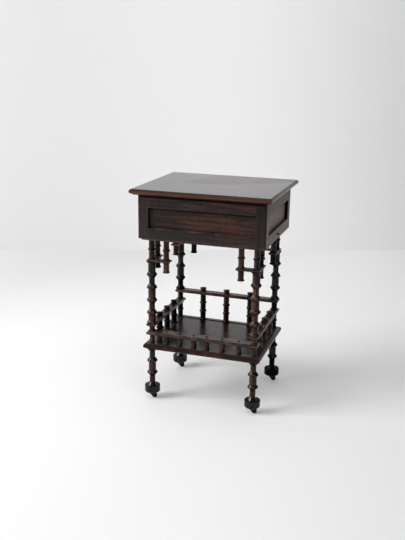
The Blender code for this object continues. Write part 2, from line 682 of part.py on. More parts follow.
def make_gallery_side(name, rail_bottom, half_x, half_y, legs, spindles, spools_below, materials):
    """A rail held between the leg spools, and the spindles that carry it."""
    rail_top = rail_bottom + RAIL_THICKNESS
    middle_x, middle_y = centre(legs)

    def outline(inset):
        return [(x + middle_x, y + middle_y) for x, y in rectangle(half_x - inset, half_y - inset)]

    strip = bevelled_strip(outline, rail_bottom + SEAT_GAP, rail_top)
    rail = make_object(f"{name}_rail", strip, materials["strip"])
    below, above = rail_bottom - RAIL_THICKNESS, rail_top + RAIL_THICKNESS
    combine(rail, "DIFFERENCE", bores(legs, LEG_NECK_RADIUS, below, above, LEG_SEGMENTS))
    combine(rail, "DIFFERENCE", bores(spindles, SPINDLE_NECK_RADIUS, below, above, SMALL_SEGMENTS))

    shelf_seat = SHELF_TOP + SEAT_GAP
    if spools_below == 1:
        stacks = [spool(rail_bottom, shelf_seat, SHORT_BARREL_RADIUS, SHORT_FLANGE_RADIUS)]
        top_end = tenon(SPINDLE_NECK_RADIUS, rail_bottom, rail_top)
    else:
        finial_top = rail_top + FINIAL_HEIGHT - END_DOME_HEIGHT
        finial = spool(finial_top, rail_top + SEAT_GAP, SHORT_BARREL_RADIUS, SHORT_FLANGE_RADIUS)
        lengths = [(rail_bottom - shelf_seat) / spools_below] * (spools_below - 1)
        barrels = [SPINDLE_BARREL_RADIUS] * spools_below
        stacks = [finial, spool_stack(rail_bottom, shelf_seat, lengths, barrels, SPINDLE_FLANGE_RADIUS)]
        top_end = dome(SHORT_FLANGE_RADIUS, finial_top, END_DOME_HEIGHT)
    bottom_end = tenon(SPINDLE_NECK_RADIUS, shelf_seat, SHELF_TOP - SPINDLE_TENON_LENGTH)
    profile = post(top_end, stacks, SPINDLE_NECK_RADIUS, bottom_end)
    for number, place in enumerate(spindles, 1):
        spindle = turned(profile, SMALL_SEGMENTS)
        make_object(f"{name}_spindle_{number}", spindle, materials["drop"], (*place, 0))


def centre(places):
    return sum(x for x, _ in places) / len(places), sum(y for _, y in places) / len(places)


def make_gallery(materials):
    along_front = (LEG_X + STRIP_END_REACH, FRONT_RAIL_HALF_WIDTH)
    along_back = (LEG_X + STRIP_END_REACH, RAIL_HALF_WIDTH)
    along_side = (RAIL_HALF_WIDTH, LEG_Y + STRIP_END_REACH)
    front = [place for place in LEG_PLACES if place[1] < 0]
    back = [place for place in LEG_PLACES if place[1] > 0]
    left = [place for place in LEG_PLACES if place[0] < 0]
    right = [place for place in LEG_PLACES if place[0] > 0]
    make_gallery_side("front", FRONT_RAIL_BOTTOM, *along_front, front, FRONT_SPINDLES, 1, materials)
    make_gallery_side("left", SIDE_RAIL_BOTTOM, *along_side, left, LEFT_SPINDLES, 2, materials)
    make_gallery_side("right", SIDE_RAIL_BOTTOM, *along_side, right, RIGHT_SPINDLES, 2, materials)
    make_gallery_side("back", BACK_RAIL_BOTTOM, *along_back, back, BACK_SPINDLES, 3, materials)


def fork_mesh(materials):
    """A caster's fork about its swivel axis: crown, two cheeks that trail to the axle, stem and axle."""
    crown_top = CASTER_HEIGHT - SEAT_GAP
    slot = WHEEL_WIDTH / 2 + WHEEL_SIDE_GAP
    half_width = slot + CASTER_CHEEK_THICKNESS
    toe = CASTER_TRAIL + CASTER_BOSS_RADIUS
    cheek = [
        (-CASTER_CROWN_REACH, crown_top),
        (-CASTER_CROWN_REACH, crown_top - CASTER_CROWN_THICKNESS - CASTER_BOSS_RADIUS / 2),
        (CASTER_TRAIL - CASTER_BOSS_RADIUS, WHEEL_RADIUS - CASTER_BOSS_RADIUS),
        (toe, WHEEL_RADIUS - CASTER_BOSS_RADIUS),
        (toe, crown_top),
    ]
    fork = make_object("fork_pattern", upright_plate(cheek, -half_width, half_width), materials["iron"])
    reach = 2 * (CASTER_TRAIL + CASTER_CROWN_REACH)
    gap = box((-reach, -slot, -CASTER_HEIGHT), (reach, slot, crown_top - CASTER_CROWN_THICKNESS))
    combine(fork, "DIFFERENCE", gap)
    crown_middle = crown_top - CASTER_CROWN_THICKNESS / 2
    stem = rod(CASTER_STEM_RADIUS, crown_middle, CASTER_HEIGHT + CASTER_STEM_LENGTH)
    combine(fork, "UNION", turned(stem, SMALL_SEGMENTS))
    axle_end = half_width - CASTER_CHEEK_THICKNESS / 2
    axle = rod(AXLE_RADIUS, -axle_end, axle_end)
    axle_place = (CASTER_TRAIL, WHEEL_RADIUS)
    combine(fork, "UNION", turned(axle, PIN_SEGMENTS, centre=axle_place, axis="Y"))
    return finished_mesh(fork)


def wheel_shape():
    """A caster wheel about its own axle, with rounded tread edges. A flat of its tread faces down."""
    tread = WHEEL_RADIUS / math.cos(math.pi / WHEEL_SEGMENTS)
    bore = AXLE_RADIUS + BORE_CLEARANCE
    half = WHEEL_WIDTH / 2
    profile = [
        (bore, half),
        (tread - WHEEL_EDGE_ROUND, half),
        (tread, half - WHEEL_EDGE_ROUND),
        (tread, WHEEL_EDGE_ROUND - half),
        (tread - WHEEL_EDGE_ROUND, -half),
        (bore, -half),
        (bore, half),
    ]
    return turned(profile, WHEEL_SEGMENTS, axis="Y", phase=math.pi / WHEEL_SEGMENTS)


def make_casters(materials):
    fork = fork_mesh(materials)
    for corner, (side, face) in CORNERS.items():
        swivel = make_empty(f"{corner}_swivel_axis", (side * LEG_X, face * LEG_Y, 0))
        make_object(f"{corner}_caster_fork", fork, materials["iron"], parent=swivel)
        axle = (CASTER_TRAIL, 0, WHEEL_RADIUS)
        make_object(f"{corner}_caster_wheel", wheel_shape(), materials["wheel"], axle, parent=swivel)


def main():
    clear_scene()
    materials = make_materials()
    make_case(materials)
    make_lid(materials)
    make_shelf(materials)
    make_gallery(materials)
    make_legs(materials)
    make_drops(materials)
    make_casters(materials)


main()
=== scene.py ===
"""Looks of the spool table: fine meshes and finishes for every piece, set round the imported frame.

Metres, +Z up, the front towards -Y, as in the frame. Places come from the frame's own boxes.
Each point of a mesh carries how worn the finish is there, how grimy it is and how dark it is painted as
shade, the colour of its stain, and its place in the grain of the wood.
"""

import math
from collections import namedtuple
from itertools import product

import bmesh
import bpy
from mathutils import Matrix, Vector


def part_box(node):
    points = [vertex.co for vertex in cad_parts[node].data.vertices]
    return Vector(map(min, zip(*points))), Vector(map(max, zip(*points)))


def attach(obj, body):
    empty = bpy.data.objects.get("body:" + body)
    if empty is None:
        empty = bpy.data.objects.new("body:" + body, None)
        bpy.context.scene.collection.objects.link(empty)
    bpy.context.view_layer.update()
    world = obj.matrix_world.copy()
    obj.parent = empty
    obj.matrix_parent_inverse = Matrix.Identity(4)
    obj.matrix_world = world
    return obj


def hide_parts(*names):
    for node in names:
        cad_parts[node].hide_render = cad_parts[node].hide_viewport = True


# Camera, fitted to the photograph
CAMERA_PLACE = (0.6919, -2.2587, 1.1046)
CAMERA_AZIMUTH = 18.095
CAMERA_ELEVATION = 16.06
CAMERA_ROLL = 0.795
CAMERA_LENS = 49.56
CAMERA_SENSOR = 36.0

# Room
FLOOR_HALF_WIDTH = 6.0
FLOOR_FRONT = -5.0
FLOOR_BACK = 3.9
FLOOR_PALE = (0.905, 0.90, 0.90)
FLOOR_GLOW = 0.14
FLOOR_SHINE = 0.2
FLOOR_ROUGHNESS = 0.7
# Painted shade on the floor: darker towards the far left corner, on the right, and far in front of the
# table
FLOOR_CORNER_SHADE = (0.73, 0.728, 0.728)
FLOOR_CORNER_SLOPE = 1.6
FLOOR_CORNER_SPAN = (1.3, 3.4)
FLOOR_RIGHT_SHADE = (0.78, 0.775, 0.775)
FLOOR_RIGHT_SPAN = (0.1, 1.4)
FLOOR_DIM = (0.22, 0.22, 0.22)
FLOOR_DIM_SPAN = (-1.5, -2.6)
WALL_MIDDLE = (-0.64, 1.79)
WALL_TURN = 21.0
WALL_HALF_WIDTH = 5.0
WALL_HEIGHT = 3.4
WALL_COLOUR = (0.935, 0.925, 0.932)
WALL_GLOW = 0.14
WALL_SHINE = 0.1
WALL_ROUGHNESS = 0.8
# Painted shade on the wall: darker to the left and, more and more, far to the right
WALL_LEFT_SHADE = (0.74, 0.74, 0.745)
WALL_LEFT_SPAN = (-0.2, -1.7)
WALL_RIGHT_SHADE = (0.55, 0.55, 0.55)
WALL_RIGHT_SPAN = (-0.6, 2.4)
WORLD_COLOUR = (0.96, 0.97, 1.0)
WORLD_STRENGTH = 0.08

# Lamps
KEY_AZIMUTH = 212.0
KEY_ELEVATION = 26.0
KEY_DISTANCE = 7.0
KEY_SIZE = (3.4, 4.6)
KEY_POWER = 500.0
FILL_PLACE = (0.3, -0.9, 3.2)
FILL_SIZE = (3.0, 3.0)
FILL_POWER = 38.0

# Fits and edges
SEAT_GAP = 0.0003
BORE_CLEARANCE = 0.0003
EDGE_EASE = 0.0006
EDGE_REACH = 1.01 * EDGE_EASE
EDGE_MARGIN = 0.0035
SHARP_ANGLE = math.radians(38)

# Moulded edges of lid and shelf: the nose's height, the inset above it and the inset below it
LID_NOSE = (0.010, 0.0045, 0.009)
SHELF_NOSE = (0.0095, 0.0065, 0.008)
EDGE_FILLET = 0.0025
EDGE_QUIRK = 0.001
EDGE_STEPS = 7
EDGE_RUB = 0.2
NOSE_RUB = 0.85

# Shelf
SHELF_FIELD = (0.157, 0.135)
SHELF_RECESS = 0.002
SHELF_DUST = (0.060, 0.052, 0.052)
SHELF_DUST_SHARE = 0.5
SHELF_TOP_DEPTHS = (0.0010, 0.0004)
SHELF_EDGE_DEPTHS = (2 * SHELF_RECESS, 1.4 * SHELF_RECESS)
SHELF_EDGE_SHINE = 0.45

# Box walls
WALL_THICKNESS = 0.020
FACE_STILE = 0.0325
SIDE_STILE = 0.031
TOP_RAIL = 0.041
BOTTOM_RAIL = 0.0355
STILE_SHIFT = (1.7, 0.6, 0.45)
FRAME_RUB = 0.35
LEDGE_PALENESS = 1.6
STILE_GRIME = 0.6
TOP_RAIL_GRIME = 0.25
BOTTOM_RAIL_GRIME = 0.55
FACE_SEAM_GRIME = 0.45
SIDE_SEAM_GRIME = 0.9
# Painted shadow: black bands under the lid's overhang on the walls and under the top rail on the panels
WALL_PAINTED_SHADOW_DEPTHS = (0.0115, 0.0075)
PANEL_PAINTED_SHADOW_DEPTHS = (0.0075, 0.0045)

# Strips
STRIP_BEVEL = 0.003
STRIP_EDGE = 0.004
BRACKET_HALF_WIDTH = 0.0135

# Spools
LEG_NECK = 0.006
DROP_NECK = 0.004
SPINDLE_NECK = 0.0035
BIG_FLANGE = 0.017
THICK_BARREL = 0.0122
THIN_BARREL = 0.0095
ANKLE_CONE = 0.0142
ANKLE_RISE = 0.0105
SMALL_FLANGE = 0.0118
SMALL_BARREL = 0.0092
SPINDLE_FLANGE = 0.0126
SPINDLE_BARREL = 0.0098
FINIAL_FLANGE = 0.0118
FINIAL_BARREL = 0.0095
SHORT_FLANGE = 0.0103
SHORT_BARREL = 0.0081
SHORT_SWELL = 1.03
BIG_LENGTH = 0.043
TOP_LENGTH = 0.0353
LOWER_LENGTH = 0.042
CONE_SLOPE = 1.5
RIM_THICKNESS = 0.0015
RIM_ROUND = 0.0004
SEAM_DEPTH = 0.0006
SEAM_HALF = 0.0001
CREASE = 0.0007
DOME_HEIGHT = 0.0025
DOME_STEPS = 5
LEG_SEGMENTS = 44
SMALL_SEGMENTS = 32

# Foot and caster
FOOT_HEIGHT = 0.025
FOOT_RADIUS = 0.0257
FOOT_BASE = 0.0185
FOOT_ROUND_HEIGHT = 0.0065
FOOT_RIM = 0.0012
FOOT_STEPS = 7
STEM_RADIUS = 0.0037
STEM_LENGTH = 0.015
CROWN_THICKNESS = 0.0018
CHEEK_THICKNESS = 0.0016
CHEEK_TOE = 0.0062
CHEEK_HEEL_RISE = 0.0045
CHEEK_START = math.radians(225)
CHEEK_SWEEP = math.radians(135)
CHEEK_STEPS = 8
BOSS_RADIUS = 0.004
AXLE_RADIUS = 0.0016
RIVET_RADIUS = 0.0026
RIVET_HEIGHT = 0.0008
WHEEL_HUB = 1.1 * BOSS_RADIUS
WHEEL_SIDE_GAP = 0.0005
WHEEL_SEGMENTS = 36
TREAD_STEPS = 8

# Fasteners, with the radius and height of their heads
NAIL = (0.0026, 0.004)
STUD = (0.0036, 0.0065)
SCREW = (0.0021, 0.0007)
STUD_PLACE = (-0.0145, 0.569)
SCREW_SLOT = 0.0006
SLOT_FLOOR = 0.25
SCREW_SHARES = (0.18, 0.5, 0.82)
HINGE_LEAF = 0.0015
HINGE_SCREW_INSET = 0.005

# Boards' finish
DARK_WOOD = (0.0120, 0.0082, 0.0073)
# Grime, which also stands for painted shade and painted shadow; where it lies thick the wood reflects
# little
GRIME_AND_SHADE_COLOUR = (0.005, 0.004, 0.0036)
CAKED_AND_SHADED_SPAN = (0.6, 0.95)
CAKED_AND_SHADED_SHINE = 0.05
STREAK_SHARE = 0.6
PORE_SPAN = (0.50, 0.75)
PORE_SHADE = 0.5
WORN_SPAN = (0.42, 0.70)
HAZE_TINT = (1.0, 0.84, 0.78)
HAZE_ROUGHNESS = 0.4
WOOD_BUMP = 0.12

# Lid's veneer, with a duller, redder leaf on the top behind a seam that slants back on the right
LID_IOR = 2.0
LID_SHINE = 0.97
LID_EDGE_SHINE = 0.13
LID_EDGE_DEPTHS = (0.0003, 0.0008)
# Painted shade: a dark, dull line in the quirk along the top of the lid's edge
LID_QUIRK_SHADE = (0.006, 0.005, 0.005)
LID_QUIRK_SHADE_DEPTHS = (0.0016, 0.0010)
LID_QUIRK_SHADE_SHINE = 0.2
LID_DARK = (0.018, 0.014, 0.013)
LID_WARM = (0.040, 0.026, 0.022)
LID_WORN = (0.112, 0.033, 0.010)
LID_WORN_SPAN = (0.15, 0.50)
LID_FRONT_BAND = (0.02, 0.01)
LID_SIDE_WEAR = 0.25
LID_FIGURE_SPAN = (0.30, 0.70)
LID_FIGURE_SHINE = 0.72
LID_GLOSS = (0.16, 0.26)
LID_BUMP = 0.06
LEAF_TURN = 0.03
LEAF_TURN_SLOPE = 0.71
LEAF_SEAM_SPAN = (-0.017, -0.005)
LEAF_END_SPAN = (-0.135, -0.095)
LEAF_END_SLOPE = 0.3
LEAF_DARK = (0.020, 0.010, 0.008)
LEAF_WARM = (0.052, 0.022, 0.015)
LEAF_SHINE = 0.42
LEAF_ROUGHNESS = 0.03

# Spools' finish, where slopes are how far a surface faces up
SPOOL_LIGHT = (1.26, 1.15, 1.08)
SPOOL_DEEP = (0.28, 0.28, 0.30)
SPOOL_GRAIN_SPAN = (0.38, 0.64)
SPOOL_WORN = (0.095, 0.050, 0.030)
SPOOL_WORN_SPAN = (0.42, 0.68)
SPOOL_WORN_SHARE = 0.45
SPOOL_GRIME = (0.005, 0.0045, 0.0045)
SPOOL_GRIME_SHARE = 0.8
SPOOL_GLOSS = (0.10, 0.22)
SPOOL_BUMP = 0.10
SPOOL_SHINE = 0.2
CONE_SHINE = 0.30
CONE_SLOPES = (0.12, 0.35, 0.75, 0.95)
ANKLE_SHINE = 0.3
ANKLE_SLOPES = (0.20, 0.33, 0.42, 0.52)
LEVEL_SHINE = 0.35
LEVEL_SLOPES = (0.9, 0.97)
BLACK_SHINE = 0.12
BLACK_REDS = (0.002, 0.012)

# Metals' finish
METAL_SPAN = (0.35, 0.65)
SPOT_SPAN = (0.52, 0.70)
SPOT_SHARE = 0.6
SPOT_SHADE = 0.5
METAL_BUMP = 0.15
METAL_BUMP_DEPTH = 0.0002

# Stains of the spools, as linear colours
STAINS = {
    "black": (0.0050, 0.0045, 0.0045),
    "teal": (0.0012, 0.0042, 0.0052),
    "slate": (0.0120, 0.0150, 0.0185),
    "moss": (0.0115, 0.0135, 0.0120),
    "umber": (0.0210, 0.0105, 0.0080),
    "russet": (0.046, 0.0190, 0.0115),
    "amber": (0.076, 0.0315, 0.0165),
}

# Stains from the top spool down, then the foot
LEG_STAINS = {
    "front_left": "umber umber moss umber russet umber russet umber russet moss russet umber moss",
    "front_right": "russet slate russet amber russet amber russet amber russet umber russet russet moss",
    "back_left": "moss moss umber umber umber black umber black umber moss black moss moss",
    "back_right": "umber black umber umber umber umber black umber black black umber teal teal",
}
DROP_STAINS = {
    "front_left_face_drop": "amber russet amber",
    "front_left_side_drop": "umber umber black",
    "front_right_face_drop": "amber amber umber",
    "front_right_side_drop": "umber black black",
    "back_left_face_drop": "umber umber black",
    "back_left_side_drop": "black umber umber",
    "back_right_face_drop": "black black black",
    "back_right_side_drop": "black umber black",
}
SPINDLE_STAINS = {
    "front": ("umber", "amber", "umber", "russet", "amber", "amber"),
    "left": ("black", "umber", "black"),
    "right": ("russet", "umber", "russet"),
    "back": ("umber", "russet", "umber"),
}

Row = namedtuple("Row", "radius height wear grime stain", defaults=("black",))
CORNERS = {"front_left": (-1, -1), "front_right": (1, -1), "back_left": (-1, 1), "back_right": (1, 1)}
WALL_TURNS = {"front": 0.0, "right": math.pi / 2, "back": math.pi, "left": -math.pi / 2}
FACES = ("front", "back")
WAYS = ("face", "side")
LEGS = [f"{corner}_leg" for corner in CORNERS]
DROPS = [f"{corner}_{way}_drop" for corner in CORNERS for way in WAYS]

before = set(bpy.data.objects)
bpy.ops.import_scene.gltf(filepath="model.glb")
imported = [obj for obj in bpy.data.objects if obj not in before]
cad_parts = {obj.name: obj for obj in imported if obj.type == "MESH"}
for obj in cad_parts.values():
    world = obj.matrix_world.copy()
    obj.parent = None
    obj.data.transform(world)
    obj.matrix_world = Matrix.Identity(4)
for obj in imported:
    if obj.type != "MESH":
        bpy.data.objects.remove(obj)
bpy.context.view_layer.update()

# Heights of the planes where pieces meet
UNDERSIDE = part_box("bottom_board")[0].z - SEAT_GAP
BRACKET_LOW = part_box("front_left_bracket")[0].z - SEAT_GAP
BRACKET_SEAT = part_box("front_left_bracket")[1].z + SEAT_GAP
SHELF_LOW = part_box("shelf")[0].z - SEAT_GAP
SHELF_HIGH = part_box("shelf")[1].z
SHELF_SEAT = SHELF_HIGH + SEAT_GAP
CASE_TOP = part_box("front_frame")[1].z
RAIL_LOW = {side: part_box(f"{side}_rail")[0].z - SEAT_GAP for side in SPINDLE_STAINS}
RAIL_HIGH = {side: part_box(f"{side}_rail")[1].z for side in SPINDLE_STAINS}
RAIL_SEAT = {side: height + SEAT_GAP for side, height in RAIL_HIGH.items()}


# Finishes
class Finish:
    """A procedural material, built node by node round one Principled shader."""

    def __init__(self, name, shine):
        self.material = bpy.data.materials.new(name)
        self.material.use_nodes = True
        self.tree = self.material.node_tree
        self.shader = self.tree.nodes["Principled BSDF"]
        self.shader.inputs["Specular IOR Level"].default_value = shine
        self.place = self.node("ShaderNodeTexCoord").outputs["Object"]
        self.grain = self.attribute("grain", "Vector")

    def node(self, kind, **inputs):
        node = self.tree.nodes.new(kind)
        for name, value in inputs.items():
            self.set(node.inputs[name], value)
        return node

    def set(self, socket, value):
        if isinstance(value, bpy.types.NodeSocket):
            self.tree.links.new(value, socket)
        else:
            socket.default_value = value

    def attribute(self, name, output="Fac"):
        node = self.node("ShaderNodeAttribute")
        node.attribute_name = name
        return node.outputs[output]

    def axes(self, vector):
        parts = self.node("ShaderNodeSeparateXYZ", Vector=vector).outputs
        return parts["X"], parts["Y"], parts["Z"]

    def noise(self, scale, detail, distortion=0.0, vector=None):
        """Noise with so many features a metre."""
        sizes = {"Scale": scale, "Detail": detail, "Distortion": distortion}
        return self.node("ShaderNodeTexNoise", Vector=vector or self.place, **sizes).outputs["Fac"]

    def streaks(self, scale, ratio, detail, distortion=0.0):
        """Noise drawn out along the grain: so many features a metre, and ratio times that across."""
        mapping = self.node("ShaderNodeMapping", Vector=self.grain, Scale=(1, ratio, ratio))
        return self.noise(scale, detail, distortion, mapping.outputs["Vector"])

    def ramp(self, value, low, high):
        """0 at low, 1 at high, and smooth between."""
        node = self.node("ShaderNodeMapRange", Value=value)
        node.interpolation_type = "SMOOTHSTEP"
        node.inputs["From Min"].default_value = low
        node.inputs["From Max"].default_value = high
        return node.outputs["Result"]

    def under(self, height, top, depths):
        """A ramp between two heights, which are given as depths under a top."""
        return self.ramp(height, *(top - depth for depth in depths))

    def band(self, value, start, full, fade, end):
        """1 from full to fade, and 0 before start and after end."""
        return self.times(self.ramp(value, start, full), self.ramp(value, end, fade))

    def between(self, value, low, high):
        """A 0 to 1 value, spread from low to high."""
        node = self.node("ShaderNodeMapRange", Value=value)
        node.inputs["To Min"].default_value = low
        node.inputs["To Max"].default_value = high
        return node.outputs["Result"]

    def maths(self, operation, first, second=0.0):
        node = self.node("ShaderNodeMath")
        node.operation = operation
        self.set(node.inputs[0], first)
        self.set(node.inputs[1], second)
        return node.outputs[0]

    def times(self, first, second):
        return self.maths("MULTIPLY", first, second)

    def mix(self, share, first, second, way="MIX"):
        node = self.node("ShaderNodeMix")
        node.data_type = "RGBA"
        node.blend_type = way
        self.set(node.inputs[0], share)
        for socket, value in ((node.inputs[6], first), (node.inputs[7], second)):
            self.set(socket, (*value, 1.0) if isinstance(value, tuple) else value)
        return node.outputs[2]

    def shine(self, level):
        self.set(self.shader.inputs["Specular IOR Level"], level)

    def glow(self, colour, strength):
        """Paleness that the camera and reflections see, and that lights nothing."""
        path = self.node("ShaderNodeLightPath").outputs
        seen = self.maths("MAXIMUM", path["Is Camera Ray"], path["Is Glossy Ray"])
        seen = self.maths("MAXIMUM", seen, path["Is Transmission Ray"])
        self.set(self.shader.inputs["Emission Color"], colour)
        self.set(self.shader.inputs["Emission Strength"], self.times(seen, strength))

    def finish(self, colour, roughness, height=None, strength=0.0, depth=0.0004, metallic=0.0):
        self.set(self.shader.inputs["Base Color"], colour)
        self.set(self.shader.inputs["Roughness"], roughness)
        self.shader.inputs["Metallic"].default_value = metallic
        if height is not None:
            bump = self.node("ShaderNodeBump", Height=height, Strength=strength, Distance=depth)
            self.set(self.shader.inputs["Normal"], bump.outputs["Normal"])
        return self.material


def shaded(colour, factor):
    return tuple(part * factor for part in colour)


def board_finish(
    name, warm, worn, scale=8.0, warmth=(0.44, 0.58), gloss=(0.20, 0.34), shine=0.42, lift=1.0,
    haze=0.0, painted_shadow=None, field=None,
):
    """Stained and varnished wood: warm wavy streaks in a dark ground, fine pores, and rubbed arrises.

    Painted shadow is a top and the depths under it where the wood is painted black and dull, as shade
    under an overhang. Haze is a sheen, as of dust. Field is the recessed middle of the shelf, outside
    which dust lies.
    """
    look = Finish(name, shine)
    dark, warm = shaded(DARK_WOOD, lift), shaded(warm, lift)
    x, y, z = look.axes(look.place)
    streaks = look.streaks(scale, ratio=14.0, detail=5.0, distortion=0.6)
    patches = look.streaks(scale / 2, ratio=4.0, detail=2.0, distortion=0.4)
    fibre = look.streaks(60.0, ratio=14.0, detail=5.0)
    cloud = look.noise(30.0, detail=3.0)
    both = look.maths("ADD", look.times(streaks, STREAK_SHARE), look.times(patches, 1 - STREAK_SHARE))
    ground = look.mix(look.ramp(both, *warmth), dark, warm)
    ground = look.mix(look.ramp(fibre, *PORE_SPAN), ground, shaded(dark, PORE_SHADE))
    # Grime and painted shade darken the ground and, where thick, dull its reflections
    grime = look.attribute("grime")
    ground = look.mix(grime, ground, GRIME_AND_SHADE_COLOUR)
    caked_and_shaded = look.ramp(grime, *CAKED_AND_SHADED_SPAN)
    # Painted shadow: a band under a top is painted black and made dull
    if painted_shadow:
        painted_shadow_mask = look.under(z, *painted_shadow)
        ground = look.mix(painted_shadow_mask, ground, GRIME_AND_SHADE_COLOUR)
        caked_and_shaded = look.maths("MAXIMUM", caked_and_shaded, painted_shadow_mask)
    level = look.between(caked_and_shaded, shine, CAKED_AND_SHADED_SHINE)
    wear = look.attribute("wear")
    rubbed = look.times(wear, look.ramp(cloud, *WORN_SPAN))
    rubbed = look.maths("MAXIMUM", rubbed, look.maths("SUBTRACT", wear, 1.0))
    colour = look.mix(rubbed, ground, worn)
    if field:
        aside = [look.maths("ABSOLUTE", axis) for axis in (x, y)]
        past = [look.ramp(axis, half, half + SEAT_GAP) for axis, half in zip(aside, field)]
        dusty = look.between(look.under(z, SHELF_HIGH, SHELF_TOP_DEPTHS), 0.0, SHELF_DUST_SHARE)
        colour = look.mix(look.times(look.maths("MAXIMUM", *past), dusty), colour, SHELF_DUST)
        above = look.under(z, SHELF_HIGH, SHELF_EDGE_DEPTHS)
        level = look.times(level, look.between(above, SHELF_EDGE_SHINE, 1.0))
    look.shine(level)
    if haze:
        look.shader.inputs["Sheen Weight"].default_value = haze
        look.shader.inputs["Sheen Roughness"].default_value = HAZE_ROUGHNESS
        look.shader.inputs["Sheen Tint"].default_value = (*HAZE_TINT, 1.0)
    return look.finish(colour, look.between(cloud, *gloss), fibre, WOOD_BUMP)


def spool_finish(name):
    """Turned wood, each spool in its own stain, rubbed light at the rims and dirty in the creases."""
    look = Finish(name, SPOOL_SHINE)
    stain = look.attribute("stain", "Color")
    grain = look.streaks(14.0, ratio=6.0, detail=5.0, distortion=0.4)
    cloud = look.noise(60.0, detail=3.0)
    light = look.mix(1.0, stain, SPOOL_LIGHT, "MULTIPLY")
    deep = look.mix(1.0, stain, SPOOL_DEEP, "MULTIPLY")
    colour = look.mix(look.ramp(grain, *SPOOL_GRAIN_SPAN), deep, light)
    rubbed = look.times(look.attribute("wear"), look.ramp(cloud, *SPOOL_WORN_SPAN))
    colour = look.mix(look.times(rubbed, SPOOL_WORN_SHARE), colour, SPOOL_WORN)
    colour = look.mix(look.times(look.attribute("grime"), SPOOL_GRIME_SHARE), colour, SPOOL_GRIME)
    up = look.axes(look.node("ShaderNodeTexCoord").outputs["Normal"])[2]
    coned = look.between(look.band(up, *CONE_SLOPES), SPOOL_SHINE, CONE_SHINE)
    ankle = look.between(look.band(up, *ANKLE_SLOPES), 0.0, ANKLE_SHINE)
    level = look.maths("ADD", coned, ankle)
    level = look.times(level, look.between(look.ramp(up, *LEVEL_SLOPES), 1.0, LEVEL_SHINE))
    red = look.node("ShaderNodeSeparateColor", Color=stain).outputs["Red"]
    look.shine(look.times(level, look.between(look.ramp(red, *BLACK_REDS), BLACK_SHINE, 1.0)))
    return look.finish(colour, look.between(cloud, *SPOOL_GLOSS), grain, SPOOL_BUMP)


def lid_finish(name):
    """Veneer in two leaves, with a dull edge that is rubbed at the front and painted dark and dull as
    shade in its quirk.
    """
    look = Finish(name, LID_SHINE)
    look.shader.inputs["IOR"].default_value = LID_IOR
    low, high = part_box("lid")
    x, y, z = look.axes(look.place)
    edge = look.under(z, high.z, LID_EDGE_DEPTHS)
    # Painted shade in the quirk
    quirk = look.times(edge, look.under(z, high.z, LID_QUIRK_SHADE_DEPTHS))
    beyond = look.maths("MAXIMUM", look.maths("SUBTRACT", x, LEAF_TURN), 0.0)
    past = look.maths("SUBTRACT", y, look.times(beyond, LEAF_TURN_SLOPE))
    end = look.maths("SUBTRACT", x, look.times(y, LEAF_END_SLOPE))
    leaf = look.times(look.ramp(past, *LEAF_SEAM_SPAN), look.ramp(end, *LEAF_END_SPAN))
    leaf = look.times(leaf, look.between(edge, 1.0, 0.0))
    figure = look.ramp(look.streaks(7.0, ratio=6.0, detail=4.0, distortion=0.8), *LID_FIGURE_SPAN)
    fibre = look.streaks(50.0, ratio=14.0, detail=5.0)
    cloud = look.noise(9.0, detail=3.0)
    ground = look.mix(leaf, look.mix(figure, LID_DARK, LID_WARM), look.mix(figure, LEAF_DARK, LEAF_WARM))
    front = look.ramp(y, *(low.y + band for band in LID_FRONT_BAND))
    rubbed = look.times(look.attribute("wear"), look.ramp(look.noise(40.0, detail=3.0), *LID_WORN_SPAN))
    colour = look.mix(look.times(rubbed, look.between(front, LID_SIDE_WEAR, 1.0)), ground, LID_WORN)
    colour = look.mix(quirk, colour, LID_QUIRK_SHADE)
    level = look.between(figure, LID_FIGURE_SHINE, 1.0)
    level = look.times(level, look.between(edge, LID_SHINE, LID_EDGE_SHINE))
    level = look.times(level, look.between(leaf, 1.0, LEAF_SHINE))
    look.shine(look.times(level, look.between(quirk, 1.0, LID_QUIRK_SHADE_SHINE)))
    rough = look.maths("ADD", look.between(cloud, *LID_GLOSS), look.times(leaf, LEAF_ROUGHNESS))
    return look.finish(colour, rough, fibre, LID_BUMP)


def metal_finish(name, colour, stain, gloss, metallic=0.0, shine=0.4):
    """Old metal: a dull colour broken by darker stains."""
    look = Finish(name, shine)
    cloud = look.noise(140.0, detail=4.0)
    spots = look.ramp(look.noise(420.0, detail=2.0), *SPOT_SPAN)
    ground = look.mix(look.ramp(cloud, *METAL_SPAN), colour, stain)
    mixed = look.mix(look.times(spots, SPOT_SHARE), ground, shaded(stain, SPOT_SHADE))
    return look.finish(mixed, look.between(cloud, *gloss), cloud, METAL_BUMP, METAL_BUMP_DEPTH, metallic)


